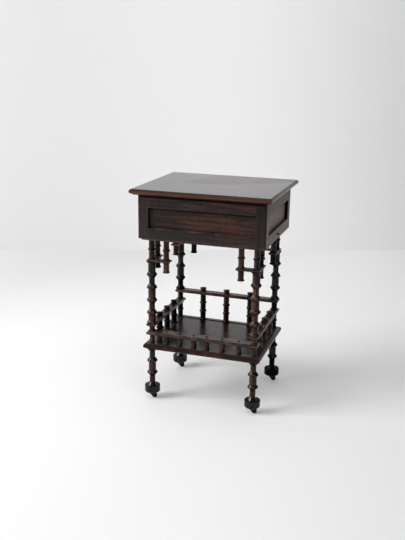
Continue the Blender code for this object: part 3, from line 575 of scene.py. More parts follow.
FINISHES = {
    "lid": lid_finish("lid_veneer"),
    "shelf": board_finish(
        "shelf_wood", warm=(0.032, 0.011, 0.008), worn=(0.070, 0.022, 0.013),
        gloss=(0.18, 0.32), shine=0.28, field=SHELF_FIELD,
    ),
    "panel": board_finish(
        "panel_wood", warm=(0.066, 0.0215, 0.012), worn=(0.10, 0.05, 0.03),
        # painted shadow under the top rail
        painted_shadow=(CASE_TOP - TOP_RAIL, PANEL_PAINTED_SHADOW_DEPTHS),
    ),
    "side_panel": board_finish(
        "side_panel_wood", warm=(0.060, 0.026, 0.017), worn=(0.10, 0.05, 0.03),
        gloss=(0.42, 0.54), lift=1.6, haze=0.8,
    ),
    "wall": board_finish(
        "wall_wood", warm=(0.056, 0.021, 0.013), worn=(0.085, 0.053, 0.040),
        # painted shadow under the lid's overhang
        warmth=(0.47, 0.62), lift=1.65, painted_shadow=(CASE_TOP, WALL_PAINTED_SHADOW_DEPTHS),
    ),
    "side_wall": board_finish(
        "side_wall_wood", warm=(0.056, 0.024, 0.016), worn=(0.085, 0.053, 0.040),
        gloss=(0.42, 0.54), lift=1.6, haze=0.35,
    ),
    "strip": board_finish(
        "strip_wood", warm=(0.052, 0.020, 0.013), worn=(0.085, 0.040, 0.026),
        scale=16.0, shine=0.34, lift=1.5,
    ),
    "spool": spool_finish("spool_wood"),
    "iron": metal_finish(
        "black_iron", colour=(0.004, 0.0035, 0.0035), stain=(0.008, 0.0055, 0.0045),
        gloss=(0.40, 0.60), shine=0.15,
    ),
    "wheel": metal_finish(
        "black_wheel", colour=(0.003, 0.003, 0.003), stain=(0.006, 0.005, 0.0045),
        gloss=(0.45, 0.65), shine=0.12,
    ),
    "brass": metal_finish(
        "old_brass", colour=(0.36, 0.24, 0.10), stain=(0.12, 0.075, 0.035),
        gloss=(0.30, 0.50), metallic=1.0,
    ),
}


# Meshes
def new_shape():
    shape = bmesh.new()
    shape.verts.layers.float.new("wear")
    shape.verts.layers.float.new("grime")
    shape.verts.layers.float_color.new("stain")
    shape.verts.layers.float_vector.new("grain")
    return shape


def marks(shape):
    """The layers that hold how worn each point is, how grimy it is and how dark it is painted as shade.
    """
    layers = shape.verts.layers.float
    return layers["wear"], layers["grime"]


def add_point(shape, place, wear=0.0, grime=0.0, stain="black"):
    vert = shape.verts.new(place)
    for layer, value in zip(marks(shape), (wear, grime)):
        vert[layer] = value
    vert[shape.verts.layers.float_color["stain"]] = (*STAINS[stain], 1.0)
    return vert


def lay_grain(shape, verts, axis, shift=(0, 0, 0)):
    """Gives points their place in the wood: along the grain first, then the two ways across it."""
    grain = shape.verts.layers.float_vector["grain"]
    for vert in verts:
        turned = Vector((vert.co[axis], vert.co[axis - 2], vert.co[axis - 1]))
        vert[grain] = turned + Vector(shift)


def join_rings(shape, first, second):
    """Faces between two rings of points, either of which may be a single point."""
    count = max(len(first), len(second))
    for i in range(count):
        before = i - 1
        around = [first[before % len(first)], first[i % len(first)]]
        around += [second[i % len(second)], second[before % len(second)]]
        shape.faces.new(dict.fromkeys(around))


def close_rings(shape, rings):
    """Faces along a row of rings and over its two ends."""
    for first, second in zip(rings, rings[1:]):
        join_rings(shape, first, second)
    shape.faces.new(rings[0])
    shape.faces.new(rings[-1])


def turned_rings(shape, rows, centre, segments):
    """A ring of points for each row, or one point where a row lies on the upright axis."""
    rings = []
    for row in rows:
        angles = [math.tau * i / segments for i in range(segments)] if row.radius else [0.0]
        ring = []
        for angle in angles:
            x = centre[0] + row.radius * math.cos(angle)
            y = centre[1] + row.radius * math.sin(angle)
            ring.append(add_point(shape, (x, y, row.height), row.wear, row.grime, row.stain))
        rings.append(ring)
    return rings


def add_turned(shape, rows, centre, segments):
    """A solid turned about an upright axis, from rows that start and end on it. Gives its points."""
    rings = turned_rings(shape, rows, centre, segments)
    for upper, lower in zip(rings, rings[1:]):
        join_rings(shape, upper, lower)
    points = [vert for ring in rings for vert in ring]
    lay_grain(shape, points, 2)
    return points


def add_board(shape, low, high, axis=0, shift=(0, 0, 0), rub=1.0, grime=0.0):
    """A board with eased edges, which are marked as worn, and with grain along an axis."""
    lines = []
    for a, b in zip(low, high):
        margin = min(EDGE_MARGIN, (b - a) / 3)
        lines.append((a, a + margin, b - margin, b))
    last = len(lines[0]) - 1
    points = {}
    for key in product(range(last + 1), repeat=3):
        if {0, last} & set(key):
            points[key] = add_point(shape, [line[i] for line, i in zip(lines, key)])
    for across, end, u, v in product(range(3), (0, last), range(last), range(last)):
        keys = [[u, v], [u + 1, v], [u + 1, v + 1], [u, v + 1]]
        for key in keys:
            key.insert(across, end)
        shape.faces.new([points[tuple(key)] for key in keys])
    places = {vert: key for key, vert in points.items()}
    known = set(shape.verts) - set(places)
    arrises = []
    for edge in {edge for vert in places for edge in vert.link_edges}:
        first, second = (places[vert] for vert in edge.verts)
        if sum(i == j and i in (0, last) for i, j in zip(first, second)) >= 2:
            arrises.append(edge)
    bmesh.ops.bevel(shape, geom=arrises, offset=EDGE_EASE, segments=2, profile=0.5, affect="EDGES")
    wear, dirt_and_shade = marks(shape)
    added = set(shape.verts) - known
    for vert in added:
        sides = sum(min(c - a, b - c) < EDGE_REACH for c, a, b in zip(vert.co, low, high))
        vert[wear] = rub if sides >= 2 else 0.0
        vert[dirt_and_shade] = grime
    lay_grain(shape, added, axis, shift)


def rectangle(half_x, half_y, middle=(0, 0)):
    signs = ((-1, -1), (1, -1), (1, 1), (-1, 1))
    return [(middle[0] + i * half_x, middle[1] + j * half_y) for i, j in signs]


def box_outline(low, high, middle=(0, 0)):
    """Gives the outline of a box for any inset."""
    half = (high - low) / 2
    return lambda inset: rectangle(half.x - inset, half.y - inset, middle)


def eased(corners, reach):
    """A line of (inset, height, wear) whose inner corners are cut back a little and marked as worn."""
    rows = [(*corners[0], 0.0)]
    for before, corner, after in zip(corners, corners[1:], corners[2:]):
        for end in (before, after):
            share = min(reach / math.dist(corner, end), 0.4)
            rows.append((*(c + share * (e - c) for c, e in zip(corner, end)), 1.0))
    rows.append((*corners[-1], 0.0))
    return rows


def add_object(name, data):
    obj = bpy.data.objects.new(name, data)
    bpy.context.scene.collection.objects.link(obj)
    return obj


def object_from(name, shape):
    bmesh.ops.recalc_face_normals(shape, faces=shape.faces)
    mesh = bpy.data.meshes.new(name)
    shape.to_mesh(mesh)
    shape.free()
    return add_object(name, mesh)


def piece_from(name, shape, finish, stands_for, body="table"):
    """A finished object from a shape, which rides on a body and may stand for a node of the frame."""
    obj = object_from(name, shape)
    obj.data.materials.append(FINISHES[finish])
    obj.data.shade_smooth()
    obj.data.set_sharp_from_angle(angle=SHARP_ANGLE)
    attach(obj, body)
    if stands_for:
        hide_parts(stands_for)
    return obj


def turned_piece(name, rows, node, segments):
    shape = new_shape()
    add_turned(shape, rows, middle_of(node), segments)
    piece_from(name, shape, "spool", node)


def lofted_piece(name, outline_at, rows, finish, node, axis=0, body="table"):
    """A piece from rows of (inset, height, wear), bottom to top, with an outline for each inset."""
    shape = new_shape()
    rings = [[add_point(shape, (x, y, z), wear) for x, y in outline_at(inset)] for inset, z, wear in rows]
    close_rings(shape, rings)
    lay_grain(shape, shape.verts, axis)
    return piece_from(name, shape, finish, node, body)


def cut(obj, cutter):
    """Cuts a closed shape out of a piece."""
    helper = object_from("cutter", cutter)
    modifier = obj.modifiers.new("cut", "BOOLEAN")
    modifier.operation = "DIFFERENCE"
    modifier.solver = "EXACT"
    modifier.object = helper
    graph = bpy.context.evaluated_depsgraph_get()
    finished = bpy.data.meshes.new_from_object(obj.evaluated_get(graph))
    obj.modifiers.clear()
    obj.data = finished
    bpy.data.objects.remove(helper, do_unlink=True)


def bore(obj, nodes, radius, low, high):
    """Drills grimy holes at the places of some nodes, a little past the heights low and high."""
    below, above = low - SEAT_GAP, high + SEAT_GAP
    wide = radius + BORE_CLEARANCE
    rows = [Row(0, above, 0, 1), Row(wide, above, 0, 1), Row(wide, below, 0, 1), Row(0, below, 0, 1)]
    segments = LEG_SEGMENTS if radius == LEG_NECK else SMALL_SEGMENTS
    drill = new_shape()
    for node in nodes:
        add_turned(drill, rows, middle_of(node), segments)
    cut(obj, drill)


def middle_of(node):
    low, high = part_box(node)
    return (low.x + high.x) / 2, (low.y + high.y) / 2


def spindle_nodes(side):
    return [f"{side}_spindle_{i + 1}" for i in range(len(SPINDLE_STAINS[side]))]


# Turned profiles
def flange_end(end, inward, barrel, flange, stain):
    """Half a spool from its end face to its barrel: seam, rounded rim, coned flange and crease."""
    depth = CONE_SLOPE * (flange - barrel)
    between = (flange + barrel) / 2
    steps = [
        (flange - SEAM_DEPTH, SEAM_HALF, 0.0, 1.0),
        (flange - RIM_ROUND, SEAM_HALF + RIM_ROUND / 2, 0.5, 0.5),
        (flange, SEAM_HALF + 1.5 * RIM_ROUND, 0.6, 0.4),
        (flange, RIM_THICKNESS, 0.6, 0.4),
        (flange - RIM_ROUND, RIM_THICKNESS + RIM_ROUND, 0.5, 0.5),
        (between, (RIM_THICKNESS + depth) / 2, 0.1, 0.6),
        (barrel + CREASE / 2, depth - CREASE / 4, 0.0, 0.9),
        (barrel, depth + CREASE, 0.0, 0.6),
        (barrel, depth + 4 * CREASE, 0.05, 0.0),
    ]
    return [Row(radius, end + inward * rise, wear, grime, stain) for radius, rise, wear, grime in steps]


def spool(top, bottom, barrel, flange, stain):
    upper = flange_end(top, -1, barrel, flange, stain)
    lower = flange_end(bottom, 1, barrel, flange, stain)
    return upper + lower[::-1]


def spool_stack(top, bottom, lengths, barrels, flange, stains):
    """Spools from the top down. The last takes what the given lengths leave."""
    rows = []
    for barrel, length in zip(barrels, [*lengths, None]):
        end = bottom if length is None else top - length
        rows += spool(top, end, barrel, flange, stains.pop(0))
        top = end
    return rows


def post(stacks, neck):
    """Stacks of spools, joined by necks through what the stacks hold between them."""
    rows = []
    for stack in stacks:
        if rows:
            last, first = rows[-1], stack[0]
            rows.append(Row(neck, last.height, 0, 1, last.stain))
            rows.append(Row(neck, first.height, 0, 1, first.stain))
        rows += stack
    return rows


def tenon(radius, seat, end, stain):
    rows = [Row(0, end, 0, 0, stain), Row(radius, end, 0, 0, stain), Row(radius, seat, 0, 1, stain)]
    return rows if end > seat else rows[::-1]


def dome(radius, seat, height, stain="black"):
    """A rounded end that rises, or with a negative height falls, from its seat to the axis."""
    rows = []
    for i in range(DOME_STEPS):
        angle = math.pi / 2 * i / DOME_STEPS
        rows.append(Row(radius * math.cos(angle), seat + height * math.sin(angle), 0.2, 0.3, stain))
    rows.append(Row(0, seat + height, 0.1, 0.3, stain))
    return rows[::-1] if height > 0 else rows


def leg_rows(corner):
    """A leg from its tenon down: spools past the bracket, the rails and the shelf, then the foot."""
    stains = LEG_STAINS[corner].split()
    node_low, node_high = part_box(f"{corner}_leg")
    pair = [THICK_BARREL, THIN_BARREL]
    small = [SMALL_BARREL] * 2
    top_end = tenon(LEG_NECK, UNDERSIDE, node_high.z, stains[0])
    stacks = [spool_stack(UNDERSIDE, BRACKET_SEAT, [TOP_LENGTH], small, SMALL_FLANGE, stains)]
    if corner.startswith("front"):
        lengths = [BIG_LENGTH] * 4
        barrels = [*pair, *pair, THICK_BARREL]
        stacks += [
            spool_stack(BRACKET_LOW, RAIL_SEAT["left"], lengths, barrels, BIG_FLANGE, stains),
            spool(RAIL_LOW["left"], RAIL_SEAT["front"], SMALL_BARREL, SMALL_FLANGE, stains.pop(0)),
            spool(RAIL_LOW["front"], SHELF_SEAT, SHORT_BARREL, SHORT_FLANGE, stains.pop(0)),
        ]
    else:
        half_way = [(RAIL_LOW["left"] - SHELF_HIGH) / 2]
        stacks += [
            spool_stack(BRACKET_LOW, RAIL_SEAT["back"], [BIG_LENGTH] * 3, pair * 2, BIG_FLANGE, stains),
            spool(RAIL_LOW["back"], RAIL_SEAT["left"], THIN_BARREL, SMALL_FLANGE, stains.pop(0)),
            spool_stack(RAIL_LOW["left"], SHELF_SEAT, half_way, small, SMALL_FLANGE, stains),
        ]
    foot_top = node_low.z + FOOT_HEIGHT
    barrels = [THIN_BARREL, THICK_BARREL, THIN_BARREL]
    low = spool_stack(SHELF_LOW, foot_top, [BIG_LENGTH, LOWER_LENGTH], barrels, BIG_FLANGE, stains)
    ankle = [row for row in low if row.height > foot_top + ANKLE_RISE]
    ankle.append(Row(THIN_BARREL, foot_top + ANKLE_RISE, 0.0, 0.3, low[-1].stain))
    ankle.append(Row(ANKLE_CONE, foot_top, 0.1, 1.0, low[-1].stain))
    return [*top_end, *post([*stacks, ankle], LEG_NECK), *foot_rows(node_low.z, foot_top, stains.pop(0))]


def foot_rows(bottom, top, stain):
    """The foot drum, rounded below, with a blind bore for the caster's stem."""
    rows = [
        Row(ANKLE_CONE + CREASE, top, 0.0, 0.8, stain),
        Row(FOOT_RADIUS - 3 * FOOT_RIM, top, 0.1, 0.0, stain),
        Row(FOOT_RADIUS - FOOT_RIM, top, 0.8, 0.0, stain),
        Row(FOOT_RADIUS - FOOT_RIM / 4, top - FOOT_RIM / 4, 1.0, 0.0, stain),
        Row(FOOT_RADIUS, top - FOOT_RIM, 0.8, 0.0, stain),
        Row(FOOT_RADIUS, top - 3 * FOOT_RIM, 0.1, 0.0, stain),
        Row(FOOT_RADIUS, bottom + FOOT_ROUND_HEIGHT + FOOT_RIM, 0.1, 0.0, stain),
    ]
    for i in range(FOOT_STEPS + 1):
        angle = math.pi / 2 * i / FOOT_STEPS
        radius = FOOT_BASE + (FOOT_RADIUS - FOOT_BASE) * math.cos(angle)
        height = bottom + FOOT_ROUND_HEIGHT * (1 - math.sin(angle))
        rows.append(Row(radius, height, 0.4, 0.2, stain))
    hole = STEM_RADIUS + BORE_CLEARANCE
    end = bottom + STEM_LENGTH + SEAT_GAP
    rows += [Row(hole, bottom, 0, 1, stain), Row(hole, end, 0, 1, stain), Row(0, end, 0, 1, stain)]
    return rows


def drop_rows(node):
    """A hanging drop: two spools above the bracket and one below it, with a rounded tip."""
    stains = DROP_STAINS[node].split()
    node_low, node_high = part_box(node)
    tip = node_low.z + DOME_HEIGHT
    top_end = tenon(DROP_NECK, UNDERSIDE, node_high.z, stains[0])
    small = [SMALL_BARREL] * 2
    upper = spool_stack(UNDERSIDE, BRACKET_SEAT, [TOP_LENGTH], small, SMALL_FLANGE, stains)
    lower = spool(BRACKET_LOW, tip, SMALL_BARREL, SMALL_FLANGE, stains[0])[:-1]
    end = dome(SMALL_FLANGE - RIM_ROUND, tip, -DOME_HEIGHT, stains[0])
    return [*top_end, *post([upper, lower], DROP_NECK), *end]


def spindle_rows(node, side, stain):
    """A gallery spindle: one short flared spool at the front, elsewhere spools and a finial."""
    node_low, node_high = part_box(node)
    foot_end = tenon(SPINDLE_NECK, SHELF_SEAT, node_low.z, stain)
    rail_low = RAIL_LOW[side]
    if side == "front":
        top_end = tenon(SPINDLE_NECK, rail_low, node_high.z, "black")
        body = [
            Row(SHORT_BARREL - RIM_ROUND, rail_low - SEAM_HALF, 0.2, 0.8, stain),
            Row(SHORT_BARREL, rail_low - RIM_THICKNESS, 0.4, 0.3, stain),
            Row(SHORT_BARREL * SHORT_SWELL, (rail_low + SHELF_SEAT) / 2, 0.0, 0.0, stain),
        ]
        flared = flange_end(SHELF_SEAT, 1, SHORT_BARREL, SHORT_FLANGE, stain)[::-1]
        return [*top_end, *body, *flared, *foot_end]
    dome_seat = node_high.z - DOME_HEIGHT
    finial = spool(dome_seat, RAIL_SEAT[side], FINIAL_BARREL, FINIAL_FLANGE, stain)[1:]
    count = 3 if side == "back" else 2
    lengths = [(rail_low - SHELF_SEAT) / count] * (count - 1)
    barrels = [SPINDLE_BARREL] * count
    below = spool_stack(rail_low, SHELF_SEAT, lengths, barrels, SPINDLE_FLANGE, [stain] * count)
    cap = dome(FINIAL_FLANGE - RIM_ROUND, dome_seat, DOME_HEIGHT, stain)
    return [*cap, *post([finial, below], SPINDLE_NECK), *foot_end]


# Turned pieces
def make_turned():
    for corner in CORNERS:
        node = f"{corner}_leg"
        turned_piece(f"{node}_spools", leg_rows(corner), node, LEG_SEGMENTS)
        for way in WAYS:
            node = f"{corner}_{way}_drop"
            turned_piece(f"{node}_spools", drop_rows(node), node, SMALL_SEGMENTS)
    for side, stains in SPINDLE_STAINS.items():
        for node, stain in zip(spindle_nodes(side), stains):
            rows = spindle_rows(node, side, stain)
            turned_piece(f"{node}_turned", rows, node, SMALL_SEGMENTS)


# Lid and shelf
def moulded_rows(base, thickness, nose):
    """Rows of (inset, height, wear) up a moulded edge: fillet, rounded nose, quirk, and a margin."""
    nose_height, top_inset, under_inset = nose
    arc = [math.pi / 2 * i / EDGE_STEPS for i in range(EDGE_STEPS + 1)]
    lower_rise = nose_height - EDGE_FILLET
    upper_rise = thickness - EDGE_QUIRK - nose_height
    edge = top_inset + EDGE_QUIRK
    rows = [
        (under_inset + EDGE_MARGIN, 0, 0),
        (under_inset + EDGE_EASE, 0, EDGE_RUB),
        (under_inset, EDGE_EASE, EDGE_RUB),
    ]
    for a in arc:
        inset = under_inset * (1 - math.sin(a))
        rows.append((inset, nose_height - lower_rise * math.cos(a), NOSE_RUB * math.sin(a) ** 2))
    for a in arc[1:]:
        inset = top_inset * (1 - math.cos(a))
        rows.append((inset, nose_height + upper_rise * math.sin(a), NOSE_RUB * math.cos(a) ** 4))
    rows += [
        (edge, thickness - EDGE_EASE, 0),
        (edge + EDGE_EASE, thickness, EDGE_RUB),
        (edge + EDGE_MARGIN, thickness, 0),
    ]
    return [(inset, base + rise, wear) for inset, rise, wear in rows]


def moulded_board(node, nose, body):
    low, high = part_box(node)
    rows = moulded_rows(low.z, high.z - low.z, nose)
    return lofted_piece(f"{node}_board", box_outline(low, high), rows, node, node, body=body)


def make_boards():
    moulded_board("lid", LID_NOSE, "lid")
    shelf = moulded_board("shelf", SHELF_NOSE, "table")
    low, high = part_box("shelf")
    spindles = [node for side in SPINDLE_STAINS for node in spindle_nodes(side)]
    bore(shelf, LEGS, LEG_NECK, low.z, high.z)
    bore(shelf, spindles, SPINDLE_NECK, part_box(spindles[0])[0].z, high.z)
    cut(shelf, shelf_field(high.z))


def shelf_field(top):
    """The shelf's slightly recessed middle, as a shape to cut away, darker along its edge."""
    shape = new_shape()
    rings = []
    steps = (0, SHELF_RECESS, 1), (0, -SHELF_RECESS, 1), (EDGE_MARGIN, -SHELF_RECESS, 0)
    for inset, rise, grime in steps:
        corners = rectangle(*(half - inset for half in SHELF_FIELD))
        rings.append([add_point(shape, (x, y, top + rise), 0, grime) for x, y in corners])
    close_rings(shape, rings)
    lay_grain(shape, shape.verts, 0)
    return shape


# Rails and brackets
def strip_rows(low, high):
    """Rows of (inset, height, wear) up the bevelled edge of a strip."""
    middle = (low + high) / 2
    corners = [
        (STRIP_BEVEL + EDGE_MARGIN, low),
        (STRIP_BEVEL, low),
        (0, middle - STRIP_EDGE / 2),
        (0, middle + STRIP_EDGE / 2),
        (STRIP_BEVEL, high),
        (STRIP_BEVEL + EDGE_MARGIN, high),
    ]
    return eased(corners, EDGE_EASE)


def strip_piece(node, outline_at, legs, others, neck, axis=0):
    """A strip bored for legs, and for the necks of other turned pieces."""
    low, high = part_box(node)
    rows = strip_rows(low.z, high.z)
    strip = lofted_piece(f"{node}_strip", outline_at, rows, "strip", node, axis)
    bore(strip, legs, LEG_NECK, low.z, high.z)
    bore(strip, others, neck, low.z, high.z)


def make_rails():
    for side in SPINDLE_STAINS:
        node = f"{side}_rail"
        outline_at = box_outline(*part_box(node), middle_of(node))
        legs = [leg for leg in LEGS if side in leg]
        strip_piece(node, outline_at, legs, spindle_nodes(side), SPINDLE_NECK, 0 if side in FACES else 1)


def bracket_outline(leg, signs, reach):
    """Gives the outline of a bracket's two arms, which reach inwards from a leg, for any inset."""

    def outline_at(inset):
        near, far = BRACKET_HALF_WIDTH - inset, reach - inset
        arms = [(-near, -near), (far, -near), (far, near), (near, near), (near, far), (-near, far)]
        return [(leg[0] - signs[0] * x, leg[1] - signs[1] * y) for x, y in arms]

    return outline_at


def make_brackets():
    for corner, signs in CORNERS.items():
        node, leg = f"{corner}_bracket", f"{corner}_leg"
        low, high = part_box(node)
        outline_at = bracket_outline(middle_of(leg), signs, high.x - low.x - BRACKET_HALF_WIDTH)
        strip_piece(node, outline_at, [leg], [f"{corner}_{way}_drop" for way in WAYS], DROP_NECK)


# Box
def mark_ledge(shape, sill, on_face):
    """The ledge under a window: paler at the front and back, painted black as shade at the sides."""
    wear, dirt_and_shade = marks(shape)
    for vert in shape.verts:
        if vert.co.z > sill - EDGE_REACH:
            vert[wear] = LEDGE_PALENESS if on_face else 0.0
            # Painted shade: on the side walls the ledge is painted black
            if not on_face and vert.co.y > 0:
                vert[dirt_and_shade] = 1.0


def mark_seams(shape, inner, sill, head, on_face):
    """Grimy seams between stiles and rails, and the window's reveals painted black as shade, though not
    its ledge.
    """
    wear, dirt_and_shade = marks(shape)
    for vert in shape.verts:
        aside = abs(vert.co.x) - inner
        above = max(sill - vert.co.z, vert.co.z - head)
        seam, run = (aside, above) if on_face else (above, aside)
        if abs(seam) < EDGE_REACH and run > -EDGE_EASE:
            vert[wear] = 0.0
            vert[dirt_and_shade] = FACE_SEAM_GRIME if on_face else SIDE_SEAM_GRIME
        # Painted shade: the window's reveals are painted black
        inside = vert.co.y > EDGE_EASE / 2 and vert.co.z > sill + EDGE_EASE
        if inside and abs(max(aside, above)) < EDGE_REACH:
            vert[wear] = 0.0
            vert[dirt_and_shade] = 1.0


def wall_shape(side, turn):
    """Two stiles and two rails round a window, mitred at the corners of the box."""
    low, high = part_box(f"{side}_frame")
    on_face = side in FACES
    half = (high.x - low.x if on_face else high.y - low.y) / 2
    out = max(abs(low.y), abs(high.y)) if on_face else max(abs(low.x), abs(high.x))
    stile = FACE_STILE if on_face else SIDE_STILE
    inner = half - stile
    sill, head = low.z + BOTTOM_RAIL, high.z - TOP_RAIL
    rail_half = inner if on_face else half
    stile_low, stile_high = (low.z, high.z) if on_face else (sill, head)
    shape = new_shape()
    shift = (turn, turn / 2, 0)
    ends = (-rail_half, 0, low.z), (rail_half, WALL_THICKNESS, sill)
    add_board(shape, *ends, 0, shift, FRAME_RUB, BOTTOM_RAIL_GRIME)
    mark_ledge(shape, sill, on_face)
    ends = (-rail_half, 0, head), (rail_half, WALL_THICKNESS, high.z)
    add_board(shape, *ends, 0, shift, FRAME_RUB, TOP_RAIL_GRIME)
    for a, b, grime in ((-half, -inner, 0.0), (inner, half, STILE_GRIME)):
        ends = (a, 0, stile_low), (b, WALL_THICKNESS, stile_high)
        add_board(shape, *ends, 2, STILE_SHIFT, FRAME_RUB, grime)
    mark_seams(shape, inner, sill, head, on_face)
    for vert in shape.verts:
        share = max(0.0, (abs(vert.co.x) - inner) / stile)
        vert.co.x -= math.copysign(vert.co.y * share, vert.co.x)
    place = Matrix.Rotation(turn, 4, "Z") @ Matrix.Translation((0, -out, 0))
    bmesh.ops.transform(shape, matrix=place, verts=shape.verts)
    return shape


def make_walls():
    for side, turn in WALL_TURNS.items():
        wall, panel = ("wall", "panel") if side in FACES else ("side_wall", "side_panel")
        piece_from(f"{side}_wall_boards", wall_shape(side, turn), wall, f"{side}_frame")
        node = f"{side}_panel"
        shape = new_shape()
        add_board(shape, *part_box(node), 0 if side in FACES else 1)
        piece_from(f"{node}_board", shape, panel, node)


def make_bottom():
    """The bottom board: a lip under the walls and a raised field between them."""
    low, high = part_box("bottom_board")
    half = (high - low) / 2
    case_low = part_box("front_frame")[0].z - SEAT_GAP
    step = half.x - (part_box("front_frame")[1].x - WALL_THICKNESS - SEAT_GAP)
    depth_step = half.y - (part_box("right_frame")[1].y - WALL_THICKNESS - SEAT_GAP)
    corners = [
        (EDGE_MARGIN, low.z),
        (0, low.z),
        (0, case_low),
        (step, case_low),
        (step, high.z),
        (step + EDGE_MARGIN, high.z),
    ]

    def outline_at(inset):
        deep = inset if inset < step / 2 else inset - step + depth_step
        return rectangle(half.x - inset, half.y - deep)

    rows = eased(corners, EDGE_EASE)
    board = lofted_piece("bottom_board_plate", outline_at, rows, "wall", "bottom_board")
    for nodes, neck in ((LEGS, LEG_NECK), (DROPS, DROP_NECK)):
        bore(board, nodes, neck, low.z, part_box(nodes[0])[1].z)


# Casters
def make_casters():
    for corner in CORNERS:
        fork, wheel = f"{corner}_caster_fork", f"{corner}_caster_wheel"
        swivel = middle_of(f"{corner}_leg")
        low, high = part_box(wheel)
        axle = ((low.x + high.x) / 2, (low.z + high.z) / 2)
        half = (high.y - low.y) / 2
        place = Matrix.Translation((axle[0], swivel[1], axle[1])) @ Matrix.Rotation(math.pi / 2, 4, "X")
        shape = fork_shape(corner, swivel, axle, half, place)
        piece_from(f"{corner}_fork", shape, "iron", fork, f"{corner}_caster")
        shape = wheel_shape(axle[1], half)
        bmesh.ops.transform(shape, matrix=place, verts=shape.verts)
        piece_from(f"{corner}_wheel", shape, "wheel", wheel, f"{corner}_wheel")


def wheel_shape(radius, half):
    """A bored wheel about an upright axis, with raised hubs and a rounded tread."""
    hole = AXLE_RADIUS + BORE_CLEARANCE
    dip = WHEEL_HUB + CREASE
    rows = [Row(hole, half, 0, 1), Row(WHEEL_HUB, half, 0.3, 0.2), Row(dip, half - CREASE, 0, 0.6)]
    for i in range(TREAD_STEPS + 1):
        angle = math.pi * (i / TREAD_STEPS - 0.5)
        tread = radius - half / 2 * (1 - math.cos(angle))
        rows.append(Row(tread, -(half - CREASE) * math.sin(angle), 0.5, 0.0))
    rows += [Row(dip, CREASE - half, 0, 0.6), Row(WHEEL_HUB, -half, 0.3, 0.2), Row(hole, -half, 0, 1)]
    shape = new_shape()
    rings = turned_rings(shape, rows, (0, 0), WHEEL_SEGMENTS)
    for i, ring in enumerate(rings):
        join_rings(shape, rings[i - 1], ring)
    return shape


def fork_shape(corner, swivel, axle, wheel_half, place):
    """A caster's fork: a crown plate, two rounded cheeks, the stem, and the axle with its rivet heads."""
    node_low, node_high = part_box(f"{corner}_caster_fork")
    shape = new_shape()
    crown_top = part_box(f"{corner}_leg")[0].z - SEAT_GAP
    crown_low = crown_top - CROWN_THICKNESS
    slot = wheel_half + WHEEL_SIDE_GAP
    outer = slot + CHEEK_THICKNESS
    toe = axle[0] + CHEEK_TOE
    heel = node_low.x
    cheek = [(heel, crown_top), (heel, axle[1] + CHEEK_HEEL_RISE)]
    for i in range(CHEEK_STEPS + 1):
        angle = CHEEK_START + CHEEK_SWEEP * i / CHEEK_STEPS
        cheek.append((axle[0] + BOSS_RADIUS * math.cos(angle), axle[1] + BOSS_RADIUS * math.sin(angle)))
    cheek += [(toe, crown_low - BOSS_RADIUS / 2), (toe, crown_top)]
    for side in (-1, 1):
        depths = [swivel[1] + side * depth for depth in (slot, outer)]
        close_rings(shape, [[add_point(shape, (x, y, z), 0.3) for x, z in cheek] for y in depths])
    plate = rectangle((toe - heel) / 2, slot, ((toe + heel) / 2, swivel[1]))
    heights = (crown_low, crown_top)
    close_rings(shape, [[add_point(shape, (x, y, z), 0.2) for x, y in plate] for z in heights])
    stem = [Row(0, node_high.z, 0, 0), Row(STEM_RADIUS, node_high.z - CREASE, 0, 0)]
    stem += [Row(STEM_RADIUS, crown_top, 0, 1), Row(0, crown_top, 0, 1)]
    add_turned(shape, stem, swivel, SMALL_SEGMENTS)
    rod = [Row(AXLE_RADIUS, outer, 0, 0), Row(AXLE_RADIUS, -outer, 0, 0)]
    rows = [*dome(RIVET_RADIUS, outer, RIVET_HEIGHT), *rod, *dome(RIVET_RADIUS, -outer, -RIVET_HEIGHT)]
    added = add_turned(shape, rows, (0, 0), SMALL_SEGMENTS)
    bmesh.ops.transform(shape, matrix=place, verts=added)
    return shape


# Nails, stud and screws
def add_head(shape, place, facing, radius, height, slotted=False):
    """A domed nail or screw head on a face, with a slot if it is a screw."""
    rows = [*dome(radius, 0, height), Row(radius, -SEAT_GAP, 0, 1), Row(0, -SEAT_GAP, 0, 1)]
    added = add_turned(shape, rows, (0, 0), SMALL_SEGMENTS // 2)
    if slotted:
        for vert in added:
            if abs(vert.co.y) < SCREW_SLOT and vert.co.z > 0:
                vert.co.z *= SLOT_FLOOR
    turn = Vector((0, 0, 1)).rotation_difference(Vector(facing)).to_matrix().to_4x4()
    bmesh.ops.transform(shape, matrix=Matrix.Translation(place) @ turn, verts=added)


def make_fasteners():
    shape = new_shape()
    for node in spindle_nodes("front"):
        add_head(shape, (*middle_of(node), RAIL_HIGH["front"]), (0, 0, 1), *NAIL)
    piece_from("front_rail_nails", shape, "wheel", None)
    shape = new_shape()
    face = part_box("right_frame")[1].x
    add_head(shape, (face, *STUD_PLACE), (1, 0, 0), *STUD)
    piece_from("right_wall_stud", shape, "wheel", None)
    case_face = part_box("back_frame")[1].y + SEAT_GAP + HINGE_LEAF
    for side in ("left", "right"):
        case_low, case_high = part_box(f"{side}_hinge_case_leaf")
        lid_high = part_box(f"{side}_hinge_lid_leaf")[1]
        case_z = case_low.z + HINGE_SCREW_INSET
        lid_y, lid_face = lid_high.y - HINGE_SCREW_INSET, lid_high.z - HINGE_LEAF
        xs = [case_low.x + (case_high.x - case_low.x) * share for share in SCREW_SHARES]
        for body, name, places, facing in (
            ("table", "case", [(x, case_face, case_z) for x in xs], (0, 1, 0)),
            ("lid", "lid", [(x, lid_y, lid_face) for x in xs], (0, 0, -1)),
        ):
            shape = new_shape()
            for place in places:
                add_head(shape, place, facing, *SCREW, slotted=True)
            piece_from(f"{side}_hinge_{name}_screws", shape, "brass", None, body)


